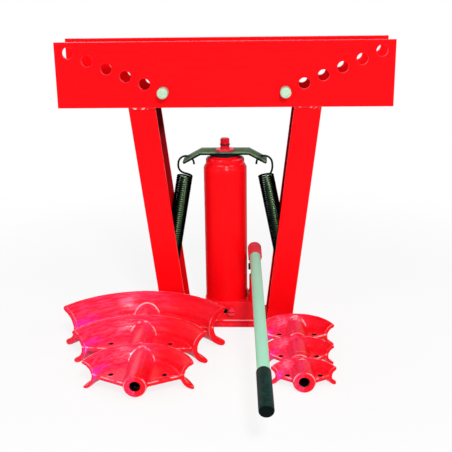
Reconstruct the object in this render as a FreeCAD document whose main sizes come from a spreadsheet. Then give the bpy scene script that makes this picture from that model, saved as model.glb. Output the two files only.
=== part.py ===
# Hydraulic pipe bender with six loose dies.
# Millimetres. X runs to the right along the bending plates, Y away from the user, Z up.
# The origin is the centre of the base plate's underside.
import FreeCAD, Part
import Sketcher
import math
import os
import re

V = FreeCAD.Vector
doc = FreeCAD.newDocument("PipeBender")

# Driving sizes: name, value, meaning
SIZES = [
    # bending plates
    ("plate_width", 620, "bending plates, overall width"),
    ("plate_height", 120, "bending plates, height"),
    ("plate_thick", 8, "bending plates, thickness"),
    ("plate_gap", 84, "free space between the bending plates"),
    ("frame_height", 565, "floor to the plates' top edge"),
    ("hole_dia", 21, "pin holes"),
    ("hole_count", 6, "pin holes in each row"),
    ("hole_edge_out", 24.5, "plate end to the outermost hole"),
    ("hole_edge_top", 19.4, "plate top to the outermost hole"),
    ("hole_step_in", 34.65, "hole to hole, inwards"),
    ("hole_step_down", 14.38, "hole to hole, downwards"),
    # legs and base plate
    ("leg_width", 51, "leg channel, width of a flange"),
    ("leg_wall", 6, "leg channel, wall"),
    ("leg_foot_out", 128.5, "outer side of a leg at floor level"),
    ("leg_top_in", 129.7, "plate end to a leg's outer side at the plates' underside"),
    ("leg_lap", 22, "length of leg between the plates"),
    ("base_thick", 10, "base plate, thickness"),
    ("base_side", 6, "base plate beyond the legs, left and right"),
    ("base_front", 4, "base plate beyond the legs, front and back"),
    # jack casting
    ("jack_shift", -2, "jack axis, off the frame's middle"),
    ("casting_width", 86, "jack casting, width of the main block"),
    ("casting_depth", 86, "jack casting, depth"),
    ("casting_height", 44, "jack casting, height"),
    ("casting_corner", 10, "jack casting, corner radius"),
    ("casting_edge", 1, "jack casting, rounding of its top edge"),
    ("foot_out", 2, "jack casting, its foot beyond its sides"),
    ("foot_height", 5, "jack casting, height of its foot"),
    ("screw_dia", 8, "base screws"),
    ("screw_head", 13, "base screws, head"),
    ("screw_length", 24, "base screws, overall length"),
    ("screw_spread_x", 72, "base screws, spacing left to right"),
    ("screw_spread_y", 66, "base screws, spacing front to back"),
    # reservoir, pressure cylinder and top nut
    ("tank_dia", 84, "reservoir tube, outside"),
    ("tank_wall", 4, "reservoir tube, wall"),
    ("tank_height", 262, "reservoir tube, length"),
    ("nut_rim", 5, "top nut, straight rim"),
    ("nut_shoulder", 16.5, "top nut, height of the shoulder"),
    ("nut_shoulder_dia", 72, "top nut, shoulder's upper diameter"),
    ("nut_neck", 7.5, "top nut, height of the neck"),
    ("nut_neck_dia", 57, "top nut, neck's upper diameter"),
    ("nut_skirt", 12, "top nut, skirt inside the reservoir"),
    ("cylinder_bore", 46, "pressure cylinder, bore"),
    ("cylinder_wall", 5, "pressure cylinder, wall"),
    ("cylinder_seat", 6, "seat of the pressure cylinder in the casting"),
    ("cylinder_cover", 12, "pressure cylinder above the reservoir tube"),
    ("washer_thick", 1, "washer under the pressure cylinder"),
    ("dust_ring_dia", 58, "dust ring, outside"),
    ("dust_ring_thick", 4.5, "dust ring, thickness"),
    ("filler_dia", 10, "filler hole"),
    ("filler_head_dia", 16, "filler plug, head"),
    ("filler_height", 232, "filler hole above the casting"),
    # ram
    ("ram_dia", 38, "ram rod"),
    ("ram_rest", 0.5, "ram above the dust ring when fully down"),
    ("ram_stroke", 220, "ram travel"),
    ("ram_spigot", 20, "ram rod's end inside the piston"),
    ("piston_height", 16, "piston"),
    ("piston_floor", 3, "piston above the cylinder's floor when down"),
    ("piston_seal_height", 6, "piston seal, height"),
    ("piston_seal_depth", 4, "piston seal, radial depth"),
    ("stud_dia", 17.6, "ram stud, where a die sits"),
    ("stud_height", 24, "ram stud above the spring plate"),
    ("stud_flange_dia", 36.5, "ram stud flange"),
    ("stud_flange_thick", 3, "ram stud flange, thickness"),
    ("stud_root_dia", 19.6, "ram stud at its flange"),
    ("stud_root", 4, "height of the stud's conical root"),
    ("stud_chamfer", 1.5, "ram stud, chamfer of its top"),
    ("stud_screw_dia", 14, "ram stud's screw in the ram"),
    ("stud_screw", 24, "ram stud's screw, length"),
    ("stud_ring_height", 12, "ring in the stud's groove, above the spring plate"),
    ("stud_ring_wire", 2.4, "ring in the stud's groove, section"),
    # spring plate
    ("wing_flat", 94, "spring plate, flat middle"),
    ("wing_span", 163, "spring plate, tip to tip"),
    ("wing_angle", 28.5, "spring plate, slope of the wings in degrees"),
    ("wing_thick", 4, "spring plate, thickness"),
    ("wing_depth", 53, "spring plate, front to back"),
    ("wing_corner", 7, "spring plate, rounding of its four corners"),
    ("wing_bend", 6, "spring plate, outer radius of its bends"),
    ("wing_hole_out", 68.8, "spring plate, hook hole from the middle"),
    ("wing_hole_dia", 8, "spring plate, hook hole"),
    # return springs
    ("spring_outside", 31.5, "return spring, outside diameter"),
    ("spring_wire", 3.9, "return spring, wire"),
    ("spring_turns", 40, "return spring, turns"),
    ("spring_pitch", 4.45, "return spring, pitch"),
    ("spring_top_beyond", 10.4, "coil's top end, outwards of the hook hole"),
    ("spring_top_drop", 49, "coil's top end below the spring plate's top"),
    ("left_lean", 10.2, "left return spring, lean in degrees"),
    ("right_lean", 11.4, "right return spring, lean in degrees"),
    ("hook_radius", 15.3, "upper hook, radius of the wire's middle line"),
    ("hook_in", 3, "upper hook's centre, nearer the middle than the coil's top"),
    ("hook_rise", 22.7, "upper hook's centre above the coil's top"),
    ("hook_tail", 6, "upper hook, where its tail ends, in degrees above the middle's level"),
    ("eye_radius", 8, "lower hook, radius of the wire's middle line"),
    ("eye_drop", 13, "lower hook's centre below the coil"),
    ("eye_open", 80, "lower hook, where it starts, in degrees from the inner side"),
    ("spring_rod_dia", 8, "rod that holds the lower hook"),
    # pins and rollers
    ("pin_dia", 20, "pressure pins"),
    ("pin_front", 20, "pressure pins in front of the plates"),
    ("pin_back", 8, "pressure pins behind the plates"),
    ("pin_chamfer", 1.5, "pressure pins, end chamfer"),
    ("roller_dia", 50, "pressure rollers, at their ends"),
    ("roller_waist", 25, "pressure rollers, at their waist"),
    ("roller_land", 4, "pressure rollers, straight land at each end"),
    ("roller_play", 0.3, "radial play of roller on pin"),
    ("roller_side", 1, "roller's end to the leg flange, along the pin"),
    # pump
    ("pump_clear", 2.7, "heads of the pivot pins to the reservoir tube"),
    ("pump_front", 30, "pump axis, in front of the jack axis"),
    ("pump_swing", 2.2, "pump group, turn about the pump axis in degrees"),
    ("lug_side", 16.3, "jack casting right of the pump axis"),
    ("lug_rear", 4, "jack casting behind the pump link"),
    ("barrel_dia", 22, "pump barrel, outside"),
    ("barrel_height", 54, "pump barrel above the casting"),
    ("barrel_screw", 10, "pump barrel's screw in the casting"),
    ("barrel_hex", 27, "pump barrel's hexagon, across flats"),
    ("barrel_hex_height", 9, "pump barrel's hexagon, height"),
    ("plunger_dia", 12, "pump plunger"),
    ("plunger_foot", 2, "pump plunger above the bottom of its bore when down"),
    ("plunger_eye", 15, "pump plunger's eye, front to back"),
    ("plunger_neck", 4, "pump plunger's round rod, below the socket's ears"),
    ("plunger_pin_level", 17, "plunger pin above the barrel when down"),
    ("eye_slot", 0.9, "plunger eye's hole, half of its extra length"),
    ("pump_seal_height", 4, "seal in the barrel's top, height"),
    ("pump_seal_depth", 3, "seal in the barrel's top, radial depth"),
    ("pivot_dia", 9, "plunger pin, fulcrum pin and link pin"),
    ("pivot_head_dia", 13, "pivot pins, head"),
    ("pivot_head", 3, "pivot pins, head thickness"),
    ("pivot_gap", 26, "fulcrum pin to plunger pin"),
    ("handle_swing", 40, "handle's travel in degrees"),
    ("handle_droop", 9, "handle's slope down to the grip in degrees"),
    ("socket_drop", 30, "fulcrum pin below the socket's axis"),
    ("ear_inside", 11, "free space between the socket's ears"),
    ("ear_thick", 4, "ears of the socket and of the link bracket, thickness"),
    ("ear_round", 8, "metal round the ears' pin holes"),
    ("link_depth", 13, "pump link, front to back"),
    ("link_root", 9, "link pin above the casting"),
    ("bracket_floor", 2, "link bracket, floor thickness"),
    # handle
    ("socket_dia", 26.6, "handle socket, outside"),
    ("socket_back", 10, "socket's closed end from the fulcrum line"),
    ("socket_front", 50, "socket's mouth from the fulcrum line"),
    ("socket_end", 3, "socket's end wall"),
    ("bar_dia", 20.6, "handle bar"),
    ("bar_length", 496, "handle bar, overall"),
    ("bar_play", 0.3, "radial play of the bar in its socket"),
    ("bar_chamfer", 1.2, "handle bar, end chamfer"),
    ("grip_dia", 23.6, "handle grip"),
    ("grip_length", 92, "handle grip"),
    ("grip_end", 2.5, "handle grip's closed end"),
    ("grip_round", 2.5, "handle grip, rounding of its closed end"),
    # release valve and oil passages
    ("valve_out", 11, "release valve, right of the jack axis"),
    ("valve_level", 26, "release valve above the base plate"),
    ("valve_dia", 10, "release valve stem"),
    ("valve_depth", 26, "release valve stem inside the casting"),
    ("valve_seal_back", 7, "release valve's seal behind the casting's front"),
    ("valve_seal_width", 2.4, "release valve's seal, width"),
    ("valve_seal_depth", 1.6, "release valve's seal, radial depth"),
    ("valve_head_dia", 15, "release valve head"),
    ("valve_head", 12, "release valve head, length"),
    ("valve_slot", 3, "slot across the release valve head"),
    ("passage_dia", 8, "crossing oil passage"),
    ("front_way_dia", 9, "front oil passage"),
    ("rise_dia", 6, "oil way up into the pressure cylinder"),
    ("passage_out", -1.6, "front oil passage, right of the jack axis"),
    ("passage_level", 24, "oil passages above the base plate"),
    ("plug_dia", 10.5, "passage plugs"),
    ("plug_length", 8, "passage plugs, length"),
    ("plug_sunk", 1.5, "passage plugs below the casting's face"),
    ("plug_key", 5, "passage plugs' hexagon socket, across flats"),
    ("ball_dia", 7.4, "valve balls"),
    ("ball_play", 0.7, "ball chamber, radial clearance"),
    # bending dies: what all six share
    ("lip_share", 0.18, "groove's lips short of the pipe's middle, as a share of the pipe radius"),
    ("lip_bulge", 0.4, "rounding of the lips, as a share of the wall"),
    ("web_thick", 8, "die web, thickness"),
    ("web_hole_dia", 8, "die web, holes"),
    ("socket_bore", 18.5, "die hub's bore for the ram stud"),
    ("socket_depth", 40, "die hub's bore, depth"),
    ("hub_chamfer", 1.5, "die hub, chamfer of its front end"),
    ("hub_flare", 5, "die hub, widening at the gutter"),
    ("hub_flare_length", 9, "die hub, length of its widening"),
    # clearances
    ("fit_play", 0.05, "radial clearance of running fits"),
    ("seat_gap", 0.3, "clearance between pieces that pass each other"),
]

# Dies: name, sideways and forward place of the rim's middle, rim radius, half angle,
# pipe radius, wall, hub length from the rim, hub radius
DIES = [
    ("two_inch", -155, 48, 190, 54.5, 30.15, 12, 78, 20),
    ("one_and_half_inch", -153.5, 128, 140, 62.5, 24.15, 9.6, 98, 20),
    ("one_and_quarter_inch", -143.5, 228, 101, 74, 21.2, 6.5, 115, 20),
    ("one_inch", 135, 77, 75, 73, 16.85, 6.7, 84, 19.5),
    ("three_quarter_inch", 135, 163, 70, 67, 13.45, 6.5, 82, 19.5),
    ("half_inch", 140, 247, 63, 65, 10.65, 7.4, 64, 19.5),
]
DIE_PARTS = ("out", "front", "rim", "angle", "pipe", "wall", "length", "hub")
for die_name, *die_values in DIES:
    for die_part, die_value in zip(DIE_PARTS, die_values):
        die_note = f"{die_name.replace('_', ' ')} die, {die_part}"
        SIZES.append((f"{die_name}_{die_part}", die_value, die_note))

sheet = doc.addObject("Spreadsheet::Sheet", "Sizes")
for row, (alias, value, note) in enumerate(SIZES, 1):
    sheet.set(f"A{row}", alias)
    sheet.set(f"B{row}", str(value))
    sheet.setAlias(f"B{row}", alias)
    sheet.set(f"C{row}", note)
ALIASES = {alias for alias, value, note in SIZES}
doc.recompute()


def expr(text):
    """An expression in which each size's name points at its cell."""
    return re.sub(r"[a-z_]+", lambda word: f"Sizes.{word[0]}" if word[0] in ALIASES else word[0], text)


def num(text):
    """The present value of an expression on the sizes."""
    return float(sheet.evalExpression(expr(text)))


# Levels and places that several pieces share
CASTING_TOP = "(base_thick + casting_height)"
CYLINDER_FLOOR = f"({CASTING_TOP} - cylinder_seat)"
CYLINDER_OUT = "(cylinder_bore / 2 + cylinder_wall)"
TANK_TOP = f"({CASTING_TOP} + tank_height)"
TANK_INSIDE = "(tank_dia / 2 - tank_wall)"
CYLINDER_TOP = f"({TANK_TOP} + cylinder_cover)"
NUT_TOP = f"({TANK_TOP} + nut_rim + nut_shoulder + nut_neck)"
RAM_TOP = f"({NUT_TOP} + dust_ring_thick + ram_rest)"
WING_TOP = f"({RAM_TOP} + wing_thick)"
PISTON_BOTTOM = f"({CYLINDER_FLOOR} + piston_floor)"
PISTON_TOP = f"({PISTON_BOTTOM} + piston_height)"
PLATE_BOTTOM = "(frame_height - plate_height)"
LEG_SLOPE = f"((plate_width / 2 - leg_top_in - leg_foot_out) / {PLATE_BOTTOM})"
FLANGE_INSIDE = "(plate_gap / 2 - leg_wall)"
PIN_OUT = "(plate_width / 2 - hole_edge_out - (hole_count - 1) * hole_step_in)"
PIN_LEVEL = "(frame_height - hole_edge_top - (hole_count - 1) * hole_step_down)"
BARREL_TOP = f"({CASTING_TOP} + barrel_height)"
BARREL_BOTTOM = f"({CASTING_TOP} - barrel_screw)"
PUMP_OUT = "(tank_dia / 2 + pump_clear + ear_inside / 2 + ear_thick + pivot_head)"
LUG_END = f"({PUMP_OUT} + lug_side)"
COIL_OUT = "(wing_hole_out + spring_top_beyond)"
COIL_TOP = f"({WING_TOP} - spring_top_drop)"

pieces = []


def new_body(label):
    body = doc.addObject("PartDesign::Body", label)
    body.Label = label
    pieces.append(body)
    return body


def new_sketch(body, role, lift="0"):
    """An empty sketch on one of the body's origin planes, moved along that plane's normal."""
    sketch = body.newObject("Sketcher::SketchObject", body.Name + "Sketch")
    plane = next(feature for feature in body.Origin.OriginFeatures if feature.Role == role)
    sketch.AttachmentSupport = [(plane, "")]
    sketch.MapMode = "FlatFace"
    if lift != "0":
        sketch.setExpression("AttachmentOffset.Base.z", expr(lift))
    return sketch


def fix_point(sketch, edge, end, across, up):
    """Hold a point of the sketch at two expressions."""
    for kind, axis, text in (("DistanceX", -2, across), ("DistanceY", -1, up)):
        if text == "0":
            sketch.addConstraint(Sketcher.Constraint("PointOnObject", edge, end, axis))
        else:
            index = sketch.addConstraint(Sketcher.Constraint(kind, -1, 1, edge, end, num(text)))
            sketch.setExpression(f"Constraints[{index}]", expr(text))


def outline(body, role, corners, lift="0"):
    """A closed outline. A corner is (across, up); with (radius, turn) added, the side that
    leaves it is an arc, counter-clockwise for turn 1 and clockwise for turn -1."""
    sketch = new_sketch(body, role, lift)
    count = len(corners)
    points = [V(num(corner[0]), num(corner[1]), 0) for corner in corners]
    ends = []
    for i, corner in enumerate(corners):
        start, stop = points[i], points[(i + 1) % count]
        if len(corner) == 2:
            edge = sketch.addGeometry(Part.LineSegment(start, stop), False)
            ends.append((edge, 1, 2))
            continue
        radius, turn = num(corner[2]), corner[3]
        chord = stop - start
        side = V(-chord.y, chord.x, 0).normalize() * turn
        centre = (start + stop) * 0.5 + side * math.sqrt(max(radius ** 2 - (chord.Length / 2) ** 2, 0))
        first, last = (start, stop) if turn == 1 else (stop, start)
        angles = [math.atan2(point.y - centre.y, point.x - centre.x) for point in (first, last)]
        if angles[1] <= angles[0]:
            angles[1] += 2 * math.pi
        circle = Part.Circle(centre, V(0, 0, 1), radius)
        edge = sketch.addGeometry(Part.ArcOfCircle(circle, angles[0], angles[1]), False)
        ends.append((edge, 1, 2) if turn == 1 else (edge, 2, 1))
    for i, (edge, start, stop) in enumerate(ends):
        following = ends[(i + 1) % count]
        sketch.addConstraint(Sketcher.Constraint("Coincident", edge, stop, following[0], following[1]))
        fix_point(sketch, edge, start, corners[i][0], corners[i][1])
        if len(corners[i]) > 2:
            index = sketch.addConstraint(Sketcher.Constraint("Radius", edge, num(corners[i][2])))
            sketch.setExpression(f"Constraints[{index}]", expr(corners[i][2]))
    return sketch


def circles(body, role, places, radius, lift="0"):
    """Circles of one radius at (across, up) places."""
    sketch = new_sketch(body, role, lift)
    for across, up in places:
        centre = V(num(across), num(up), 0)
        edge = sketch.addGeometry(Part.Circle(centre, V(0, 0, 1), num(radius)), False)
        fix_point(sketch, edge, 3, across, up)
        index = sketch.addConstraint(Sketcher.Constraint("Radius", edge, num(radius)))
        sketch.setExpression(f"Constraints[{index}]", expr(radius))
    return sketch


def box_corners(left, right, low, high):
    return [(left, low), (right, low), (right, high), (left, high)]


def hexagon(flats, across="0", up="0"):
    """Corners of a hexagon with two sides square to the first direction."""
    half, tall = f"{flats} / 2", f"{flats} * 0.57735"
    return [(f"{across} + {half}", f"{up} - {tall} / 2"), (f"{across} + {half}", f"{up} + {tall} / 2"),
            (across, f"{up} + {tall}"), (f"{across} - {half}", f"{up} + {tall} / 2"),
            (f"{across} - {half}", f"{up} - {tall} / 2"), (across, f"{up} - {tall}")]


def pad(body, sketch, length, symmetric=True):
    feature = body.newObject("PartDesign::Pad", body.Name + "Pad")
    feature.Profile = sketch
    feature.Midplane = symmetric
    feature.setExpression("Length", expr(length))
    return feature


def pocket(body, sketch, length, symmetric=False, flip=False):
    """Cut a depth from the sketch against its plane's normal, or with it when flipped."""
    feature = body.newObject("PartDesign::Pocket", body.Name + "Pocket")
    feature.Profile = sketch
    feature.Midplane = symmetric
    feature.Reversed = flip
    feature.setExpression("Length", expr(length))
    return feature


def spin(body, sketch, axis="V_Axis", angle="360", cut=False):
    """Turn the sketch about one of its own axes, evenly to both sides of its plane."""
    kind = "PartDesign::Groove" if cut else "PartDesign::Revolution"
    feature = body.newObject(kind, body.Name + "Spin")
    feature.Profile = sketch
    feature.ReferenceAxis = (sketch, [axis])
    feature.Midplane = True
    feature.setExpression("Angle", expr(angle))
    return feature


def turned(label, corners):
    """A lathe-turned piece: corners are (radius, height) about the Z axis."""
    body = new_body(label)
    spin(body, outline(body, "XZ_Plane", corners))
    return body


def tube(label, inside, outside, low, high):
    return turned(label, box_corners(inside, outside, low, high))


def rod(label, radius, low, high, chamfer):
    """A round rod about the Z axis with chamfered ends."""
    return turned(label, [
        ("0", low), (f"{radius} - {chamfer}", low), (radius, f"{low} + {chamfer}"),
        (radius, f"{high} - {chamfer}"), (f"{radius} - {chamfer}", high), ("0", high)])


def place(piece, x="0", y="0", z="0", yaw="0", pitch="0", roll="0"):
    """Move a piece by expressions; the angles are degrees about Z, Y and X."""
    for path, text in (("Base.x", x), ("Base.y", y), ("Base.z", z)):
        piece.setExpression(f"Placement.{path}", expr(text))
    for path, text in (("Yaw", yaw), ("Pitch", pitch), ("Roll", roll)):
        piece.setExpression(f"Placement.Rotation.{path}", expr(f"({text}) * 1deg"))
    return piece


def round_edges(body, radius, chosen):
    """Round the edges of the body's present shape that a test on each edge picks."""
    doc.recompute()
    base = body.Tip
    names = [f"Edge{i}" for i, edge in enumerate(base.Shape.Edges, 1) if chosen(edge.BoundBox)]
    feature = body.newObject("PartDesign::Fillet", body.Name + "Fillet")
    feature.Base = (base, names)
    feature.setExpression("Radius", expr(radius))
    return feature


def is_upright(box):
    return box.ZLength > 1 and box.XLength < 0.01 and box.YLength < 0.01


# Bending plates: flat bars with a slanting row of pin holes on each side
def bending_plate(label, side):
    body = new_body(label)
    bar = box_corners("-plate_width / 2", "plate_width / 2", PLATE_BOTTOM, "frame_height")
    pad(body, outline(body, "XZ_Plane", bar), "plate_thick")
    places = []
    for i in range(int(num("hole_count"))):
        out = f"(plate_width / 2 - hole_edge_out - {i} * hole_step_in)"
        level = f"frame_height - hole_edge_top - {i} * hole_step_down"
        places += [(out, level), (f"-{out}", level)]
    pocket(body, circles(body, "XZ_Plane", places, "hole_dia / 2"), "2 * plate_thick", symmetric=True)
    place(body, y=f"{side} * (plate_gap + plate_thick) / 2")


bending_plate("front_plate", -1)
bending_plate("rear_plate", 1)


# Legs: channels, open side inward, that lean outwards up to the plates
def leg_corners(low, high, outer, inner, side):
    def line(level, inset):
        return f"{side} * (leg_foot_out + {LEG_SLOPE} * ({level}) - ({inset}))"

    return [(line(low, outer), low), (line(high, outer), high),
            (line(high, inner), high), (line(low, inner), low)]


def leg(label, side):
    body = new_body(label)
    low, high = "base_thick", f"{PLATE_BOTTOM} + leg_lap"
    pad(body, outline(body, "XZ_Plane", leg_corners(low, high, "0", "leg_width", side)), "plate_gap")
    low, high = f"{low} - leg_wall", f"{high} + leg_wall"
    trough = leg_corners(low, high, "leg_wall", "leg_width + leg_wall", side)
    pocket(body, outline(body, "XZ_Plane", trough), f"2 * {FLANGE_INSIDE}", symmetric=True)


leg("left_leg", -1)
leg("right_leg", 1)

# Base plate, with countersunk holes for the jack's screws
SCREW_PLACES = [(f"{i} * screw_spread_x / 2", f"{j} * screw_spread_y / 2") for i in (-1, 1) for j in (-1, 1)]
SCREW_HEAD_HEIGHT = "(screw_dia * 0.55)"


def base_plate():
    body = new_body("base_plate")
    half_x, half_y = "(leg_foot_out + base_side)", "(plate_gap / 2 + base_front)"
    slab = box_corners(f"-{half_x}", half_x, f"-{half_y}", half_y)
    pad(body, outline(body, "XY_Plane", slab), "base_thick", symmetric=False)
    places = [(f"jack_shift + {x}", y) for x, y in SCREW_PLACES]
    shanks = circles(body, "XY_Plane", places, "screw_dia / 2 + seat_gap")
    pocket(body, shanks, "base_thick", flip=True)
    heads = circles(body, "XY_Plane", places, "screw_head / 2 + seat_gap")
    pocket(body, heads, f"{SCREW_HEAD_HEIGHT} + seat_gap", flip=True)


def base_screw(label, x, y):
    """A flat-headed screw from below, with a hexagon socket."""
    screw = turned(label, [
        ("0", "seat_gap"), ("screw_head / 2", "seat_gap"),
        ("screw_head / 2", f"seat_gap + {SCREW_HEAD_HEIGHT}"),
        ("screw_dia / 2", f"seat_gap + {SCREW_HEAD_HEIGHT}"),
        ("screw_dia / 2", "screw_length"), ("0", "screw_length")])
    key = outline(screw, "XY_Plane", hexagon("(screw_dia * 0.6)"), lift="seat_gap")
    pocket(screw, key, f"{SCREW_HEAD_HEIGHT} / 2", flip=True)
    place(screw, x=f"jack_shift + {x}", y=y)


base_plate()
for corner, (screw_x, screw_y) in zip(("front_left", "rear_left", "front_right", "rear_right"), SCREW_PLACES):
    base_screw(f"base_screw_{corner}", screw_x, screw_y)


# Rods across the legs that hold the springs' lower hooks: each touches the inside of its eye
COIL_LENGTH = "(spring_turns * spring_pitch)"
ROD_REACH = (f"({COIL_LENGTH} + eye_drop + eye_radius - spring_wire / 2 - spring_rod_dia / 2"
             " - fit_play)")


def spring_rod(label, side, lean):
    body = new_body(label)
    x = f"jack_shift + {side} * ({COIL_OUT} + {ROD_REACH} * sin({lean} * 1deg))"
    z = f"{COIL_TOP} - {ROD_REACH} * cos({lean} * 1deg)"
    pad(body, circles(body, "XZ_Plane", [(x, z)], "spring_rod_dia / 2"), f"2 * {FLANGE_INSIDE}")


spring_rod("left_spring_rod", -1, "left_lean")
spring_rod("right_spring_rod", 1, "right_lean")

# Jack casting: main block with the pump's lug on its right, seats, oil passages and valve bore.
# The jack and its inner pieces are drawn about the jack's own axis.
PASSAGE = "(base_thick + passage_level)"
FRONT = "(casting_depth / 2)"
FULCRUM_BACK = "(pivot_gap * (1 + cos(handle_swing * 0.5deg)) / 2)"
PUMP = [(PUMP_OUT, "-pump_front")]


def jack_base():
    body = new_body("jack_base")
    half_x = "casting_width / 2"
    lug_back = f"(-pump_front + {FULCRUM_BACK} + link_depth + lug_rear)"
    for out, height in (("0", "casting_height"), ("foot_out", "foot_height")):
        left, right, lug_right = f"-{half_x} - {out}", f"{half_x} + {out}", f"{LUG_END} + {out}"
        front, back = f"-{FRONT} - {out}", f"{FRONT} + {out}"
        corners = [(left, front), (lug_right, front), (lug_right, f"{lug_back} + {out}"),
                   (right, f"{lug_back} + casting_corner + {out}"), (right, back), (left, back)]
        pad(body, outline(body, "XY_Plane", corners, lift="base_thick"), height, symmetric=False)
    round_edges(body, "casting_corner", is_upright)
    top = num(CASTING_TOP)
    round_edges(body, "casting_edge", lambda box: box.ZMin > top - 0.01)
    # seats of the pressure cylinder and the pump barrel
    pocket(body, circles(body, "XY_Plane", [("0", "0")], CYLINDER_OUT, lift=CASTING_TOP), "cylinder_seat")
    pocket(body, circles(body, "XY_Plane", PUMP, "barrel_dia / 2", lift=CASTING_TOP), "barrel_screw")
    # ball chamber below the pump, crossing passage, front passage and the way up into the cylinder
    chamber = circles(body, "XY_Plane", PUMP, "ball_dia / 2 + ball_play", lift=CASTING_TOP)
    pocket(body, chamber, "casting_height - passage_level + ball_dia / 2 + ball_play")
    crossing = circles(body, "YZ_Plane", [("-pump_front", PASSAGE)], "passage_dia / 2", lift=LUG_END)
    pocket(body, crossing, f"{LUG_END} - passage_out")
    front_way = circles(body, "XZ_Plane", [("passage_out", PASSAGE)], "front_way_dia / 2", lift=FRONT)
    pocket(body, front_way, f"{FRONT} + front_way_dia / 2")
    rise = circles(body, "XY_Plane", [("passage_out", "0")], "rise_dia / 2", lift=CYLINDER_FLOOR)
    pocket(body, rise, f"{CYLINDER_FLOOR} - {PASSAGE}")
    # counterbores of the two passage plugs
    front_plug = circles(body, "XZ_Plane", [("passage_out", PASSAGE)], "plug_dia / 2", lift=FRONT)
    pocket(body, front_plug, "plug_sunk + plug_length")
    side_plug = circles(body, "YZ_Plane", [("-pump_front", PASSAGE)], "plug_dia / 2", lift=LUG_END)
    pocket(body, side_plug, "plug_sunk + plug_length")
    # release valve bore from the front
    valve = circles(body, "XZ_Plane", [("valve_out", "base_thick + valve_level")],
                    "valve_dia / 2 + fit_play", lift=FRONT)
    pocket(body, valve, "valve_depth + ball_dia")
    # threaded holes for the base screws
    holes = circles(body, "XY_Plane", SCREW_PLACES, "screw_dia / 2", lift="base_thick")
    pocket(body, holes, "screw_length - base_thick", flip=True)
    place(body, x="jack_shift")


jack_base()


# Plugs with a hexagon socket that close the drilled passages
def passage_plug(label):
    plug = tube(label, "0", "plug_dia / 2", "-plug_sunk - plug_length", "-plug_sunk")
    key = outline(plug, "XY_Plane", hexagon("plug_key"), lift="-plug_sunk")
    pocket(plug, key, "plug_length / 2")
    return plug


place(passage_plug("front_passage_plug"), x="jack_shift + passage_out", y=f"-{FRONT}", z=PASSAGE, roll="90")
place(passage_plug("side_passage_plug"), x=f"jack_shift + {LUG_END}", y="-pump_front", z=PASSAGE, pitch="90")


# Valve balls: suction ball under the pump, delivery ball in the passage, release ball at its seat
def ball(label, x, y, z):
    piece = doc.addObject("Part::Sphere", label)
    piece.Label = label
    piece.setExpression("Radius", expr("ball_dia / 2"))
    place(piece, x=f"jack_shift + {x}", y=y, z=z)
    pieces.append(piece)


ball("suction_ball", PUMP_OUT, "-pump_front", PASSAGE)
ball("delivery_ball", "casting_width / 4", "-pump_front", f"{PASSAGE} - seat_gap")
ball("release_ball", "valve_out", f"-{FRONT} + valve_depth + ball_dia / 2", "base_thick + valve_level")

# Reservoir tube with its filler hole at the back
tank = tube("reservoir_tube", TANK_INSIDE, "tank_dia / 2", CASTING_TOP, TANK_TOP)
filler_hole = circles(tank, "XZ_Plane", [("0", f"{CASTING_TOP} + filler_height")], "filler_dia / 2")
pocket(tank, filler_hole, "tank_dia")
place(tank, x="jack_shift")

filler_plug = turned("filler_plug", [
    ("0", "-tank_wall"), ("filler_dia / 2", "-tank_wall"), ("filler_dia / 2", "0"),
    ("filler_head_dia / 2", "0"), ("filler_head_dia / 2", "2"), ("filler_head_dia / 2 - 1", "3"), ("0", "3")])
place(filler_plug, x="jack_shift", y="tank_dia / 2", z=f"{CASTING_TOP} + filler_height", roll="-90")

# Pressure cylinder standing on its washer in the casting
place(tube("cylinder_washer", "cylinder_bore / 2", CYLINDER_OUT, CYLINDER_FLOOR,
           f"{CYLINDER_FLOOR} + washer_thick"), x="jack_shift")
place(tube("pressure_cylinder", "cylinder_bore / 2", CYLINDER_OUT, f"{CYLINDER_FLOOR} + washer_thick",
           CYLINDER_TOP), x="jack_shift")

# Top nut: skirt with a seal groove inside the reservoir, rim, shoulder and neck
RAM_WAY = "(ram_dia / 2 + seat_gap)"
SKIRT = f"({TANK_INSIDE} - fit_play)"
SEAL_LOW = f"({TANK_TOP} - nut_skirt * 2 / 3)"
SEAL_HIGH = f"({TANK_TOP} - nut_skirt / 3)"
top_nut = turned("top_nut", [
    (CYLINDER_OUT, f"{TANK_TOP} - nut_skirt"), (SKIRT, f"{TANK_TOP} - nut_skirt"), (SKIRT, SEAL_LOW),
    (f"{SKIRT} - 2.4", SEAL_LOW), (f"{SKIRT} - 2.4", SEAL_HIGH), (SKIRT, SEAL_HIGH), (SKIRT, TANK_TOP),
    ("tank_dia / 2", TANK_TOP), ("tank_dia / 2", f"{TANK_TOP} + nut_rim"),
    ("nut_shoulder_dia / 2", f"{TANK_TOP} + nut_rim + nut_shoulder", "nut_shoulder * 3", 1),
    ("nut_neck_dia / 2", NUT_TOP), (RAM_WAY, NUT_TOP), (RAM_WAY, CYLINDER_TOP), (CYLINDER_OUT, CYLINDER_TOP)])
place(top_nut, x="jack_shift")
place(tube("reservoir_seal", f"{SKIRT} - 2.4", TANK_INSIDE, SEAL_LOW, SEAL_HIGH), x="jack_shift")
place(tube("ram_bush", "ram_dia / 2 + fit_play", "cylinder_bore / 2", f"{PISTON_TOP} + ram_stroke + 1",
           CYLINDER_TOP), x="jack_shift")
dust_ring = turned("dust_ring", [
    ("ram_dia / 2 + fit_play", NUT_TOP), ("dust_ring_dia / 2", NUT_TOP),
    ("dust_ring_dia / 2", f"{NUT_TOP} + dust_ring_thick - 1"),
    ("dust_ring_dia / 2 - 1", f"{NUT_TOP} + dust_ring_thick"),
    ("ram_dia / 2 + fit_play", f"{NUT_TOP} + dust_ring_thick")])
place(dust_ring, x="jack_shift")

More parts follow.
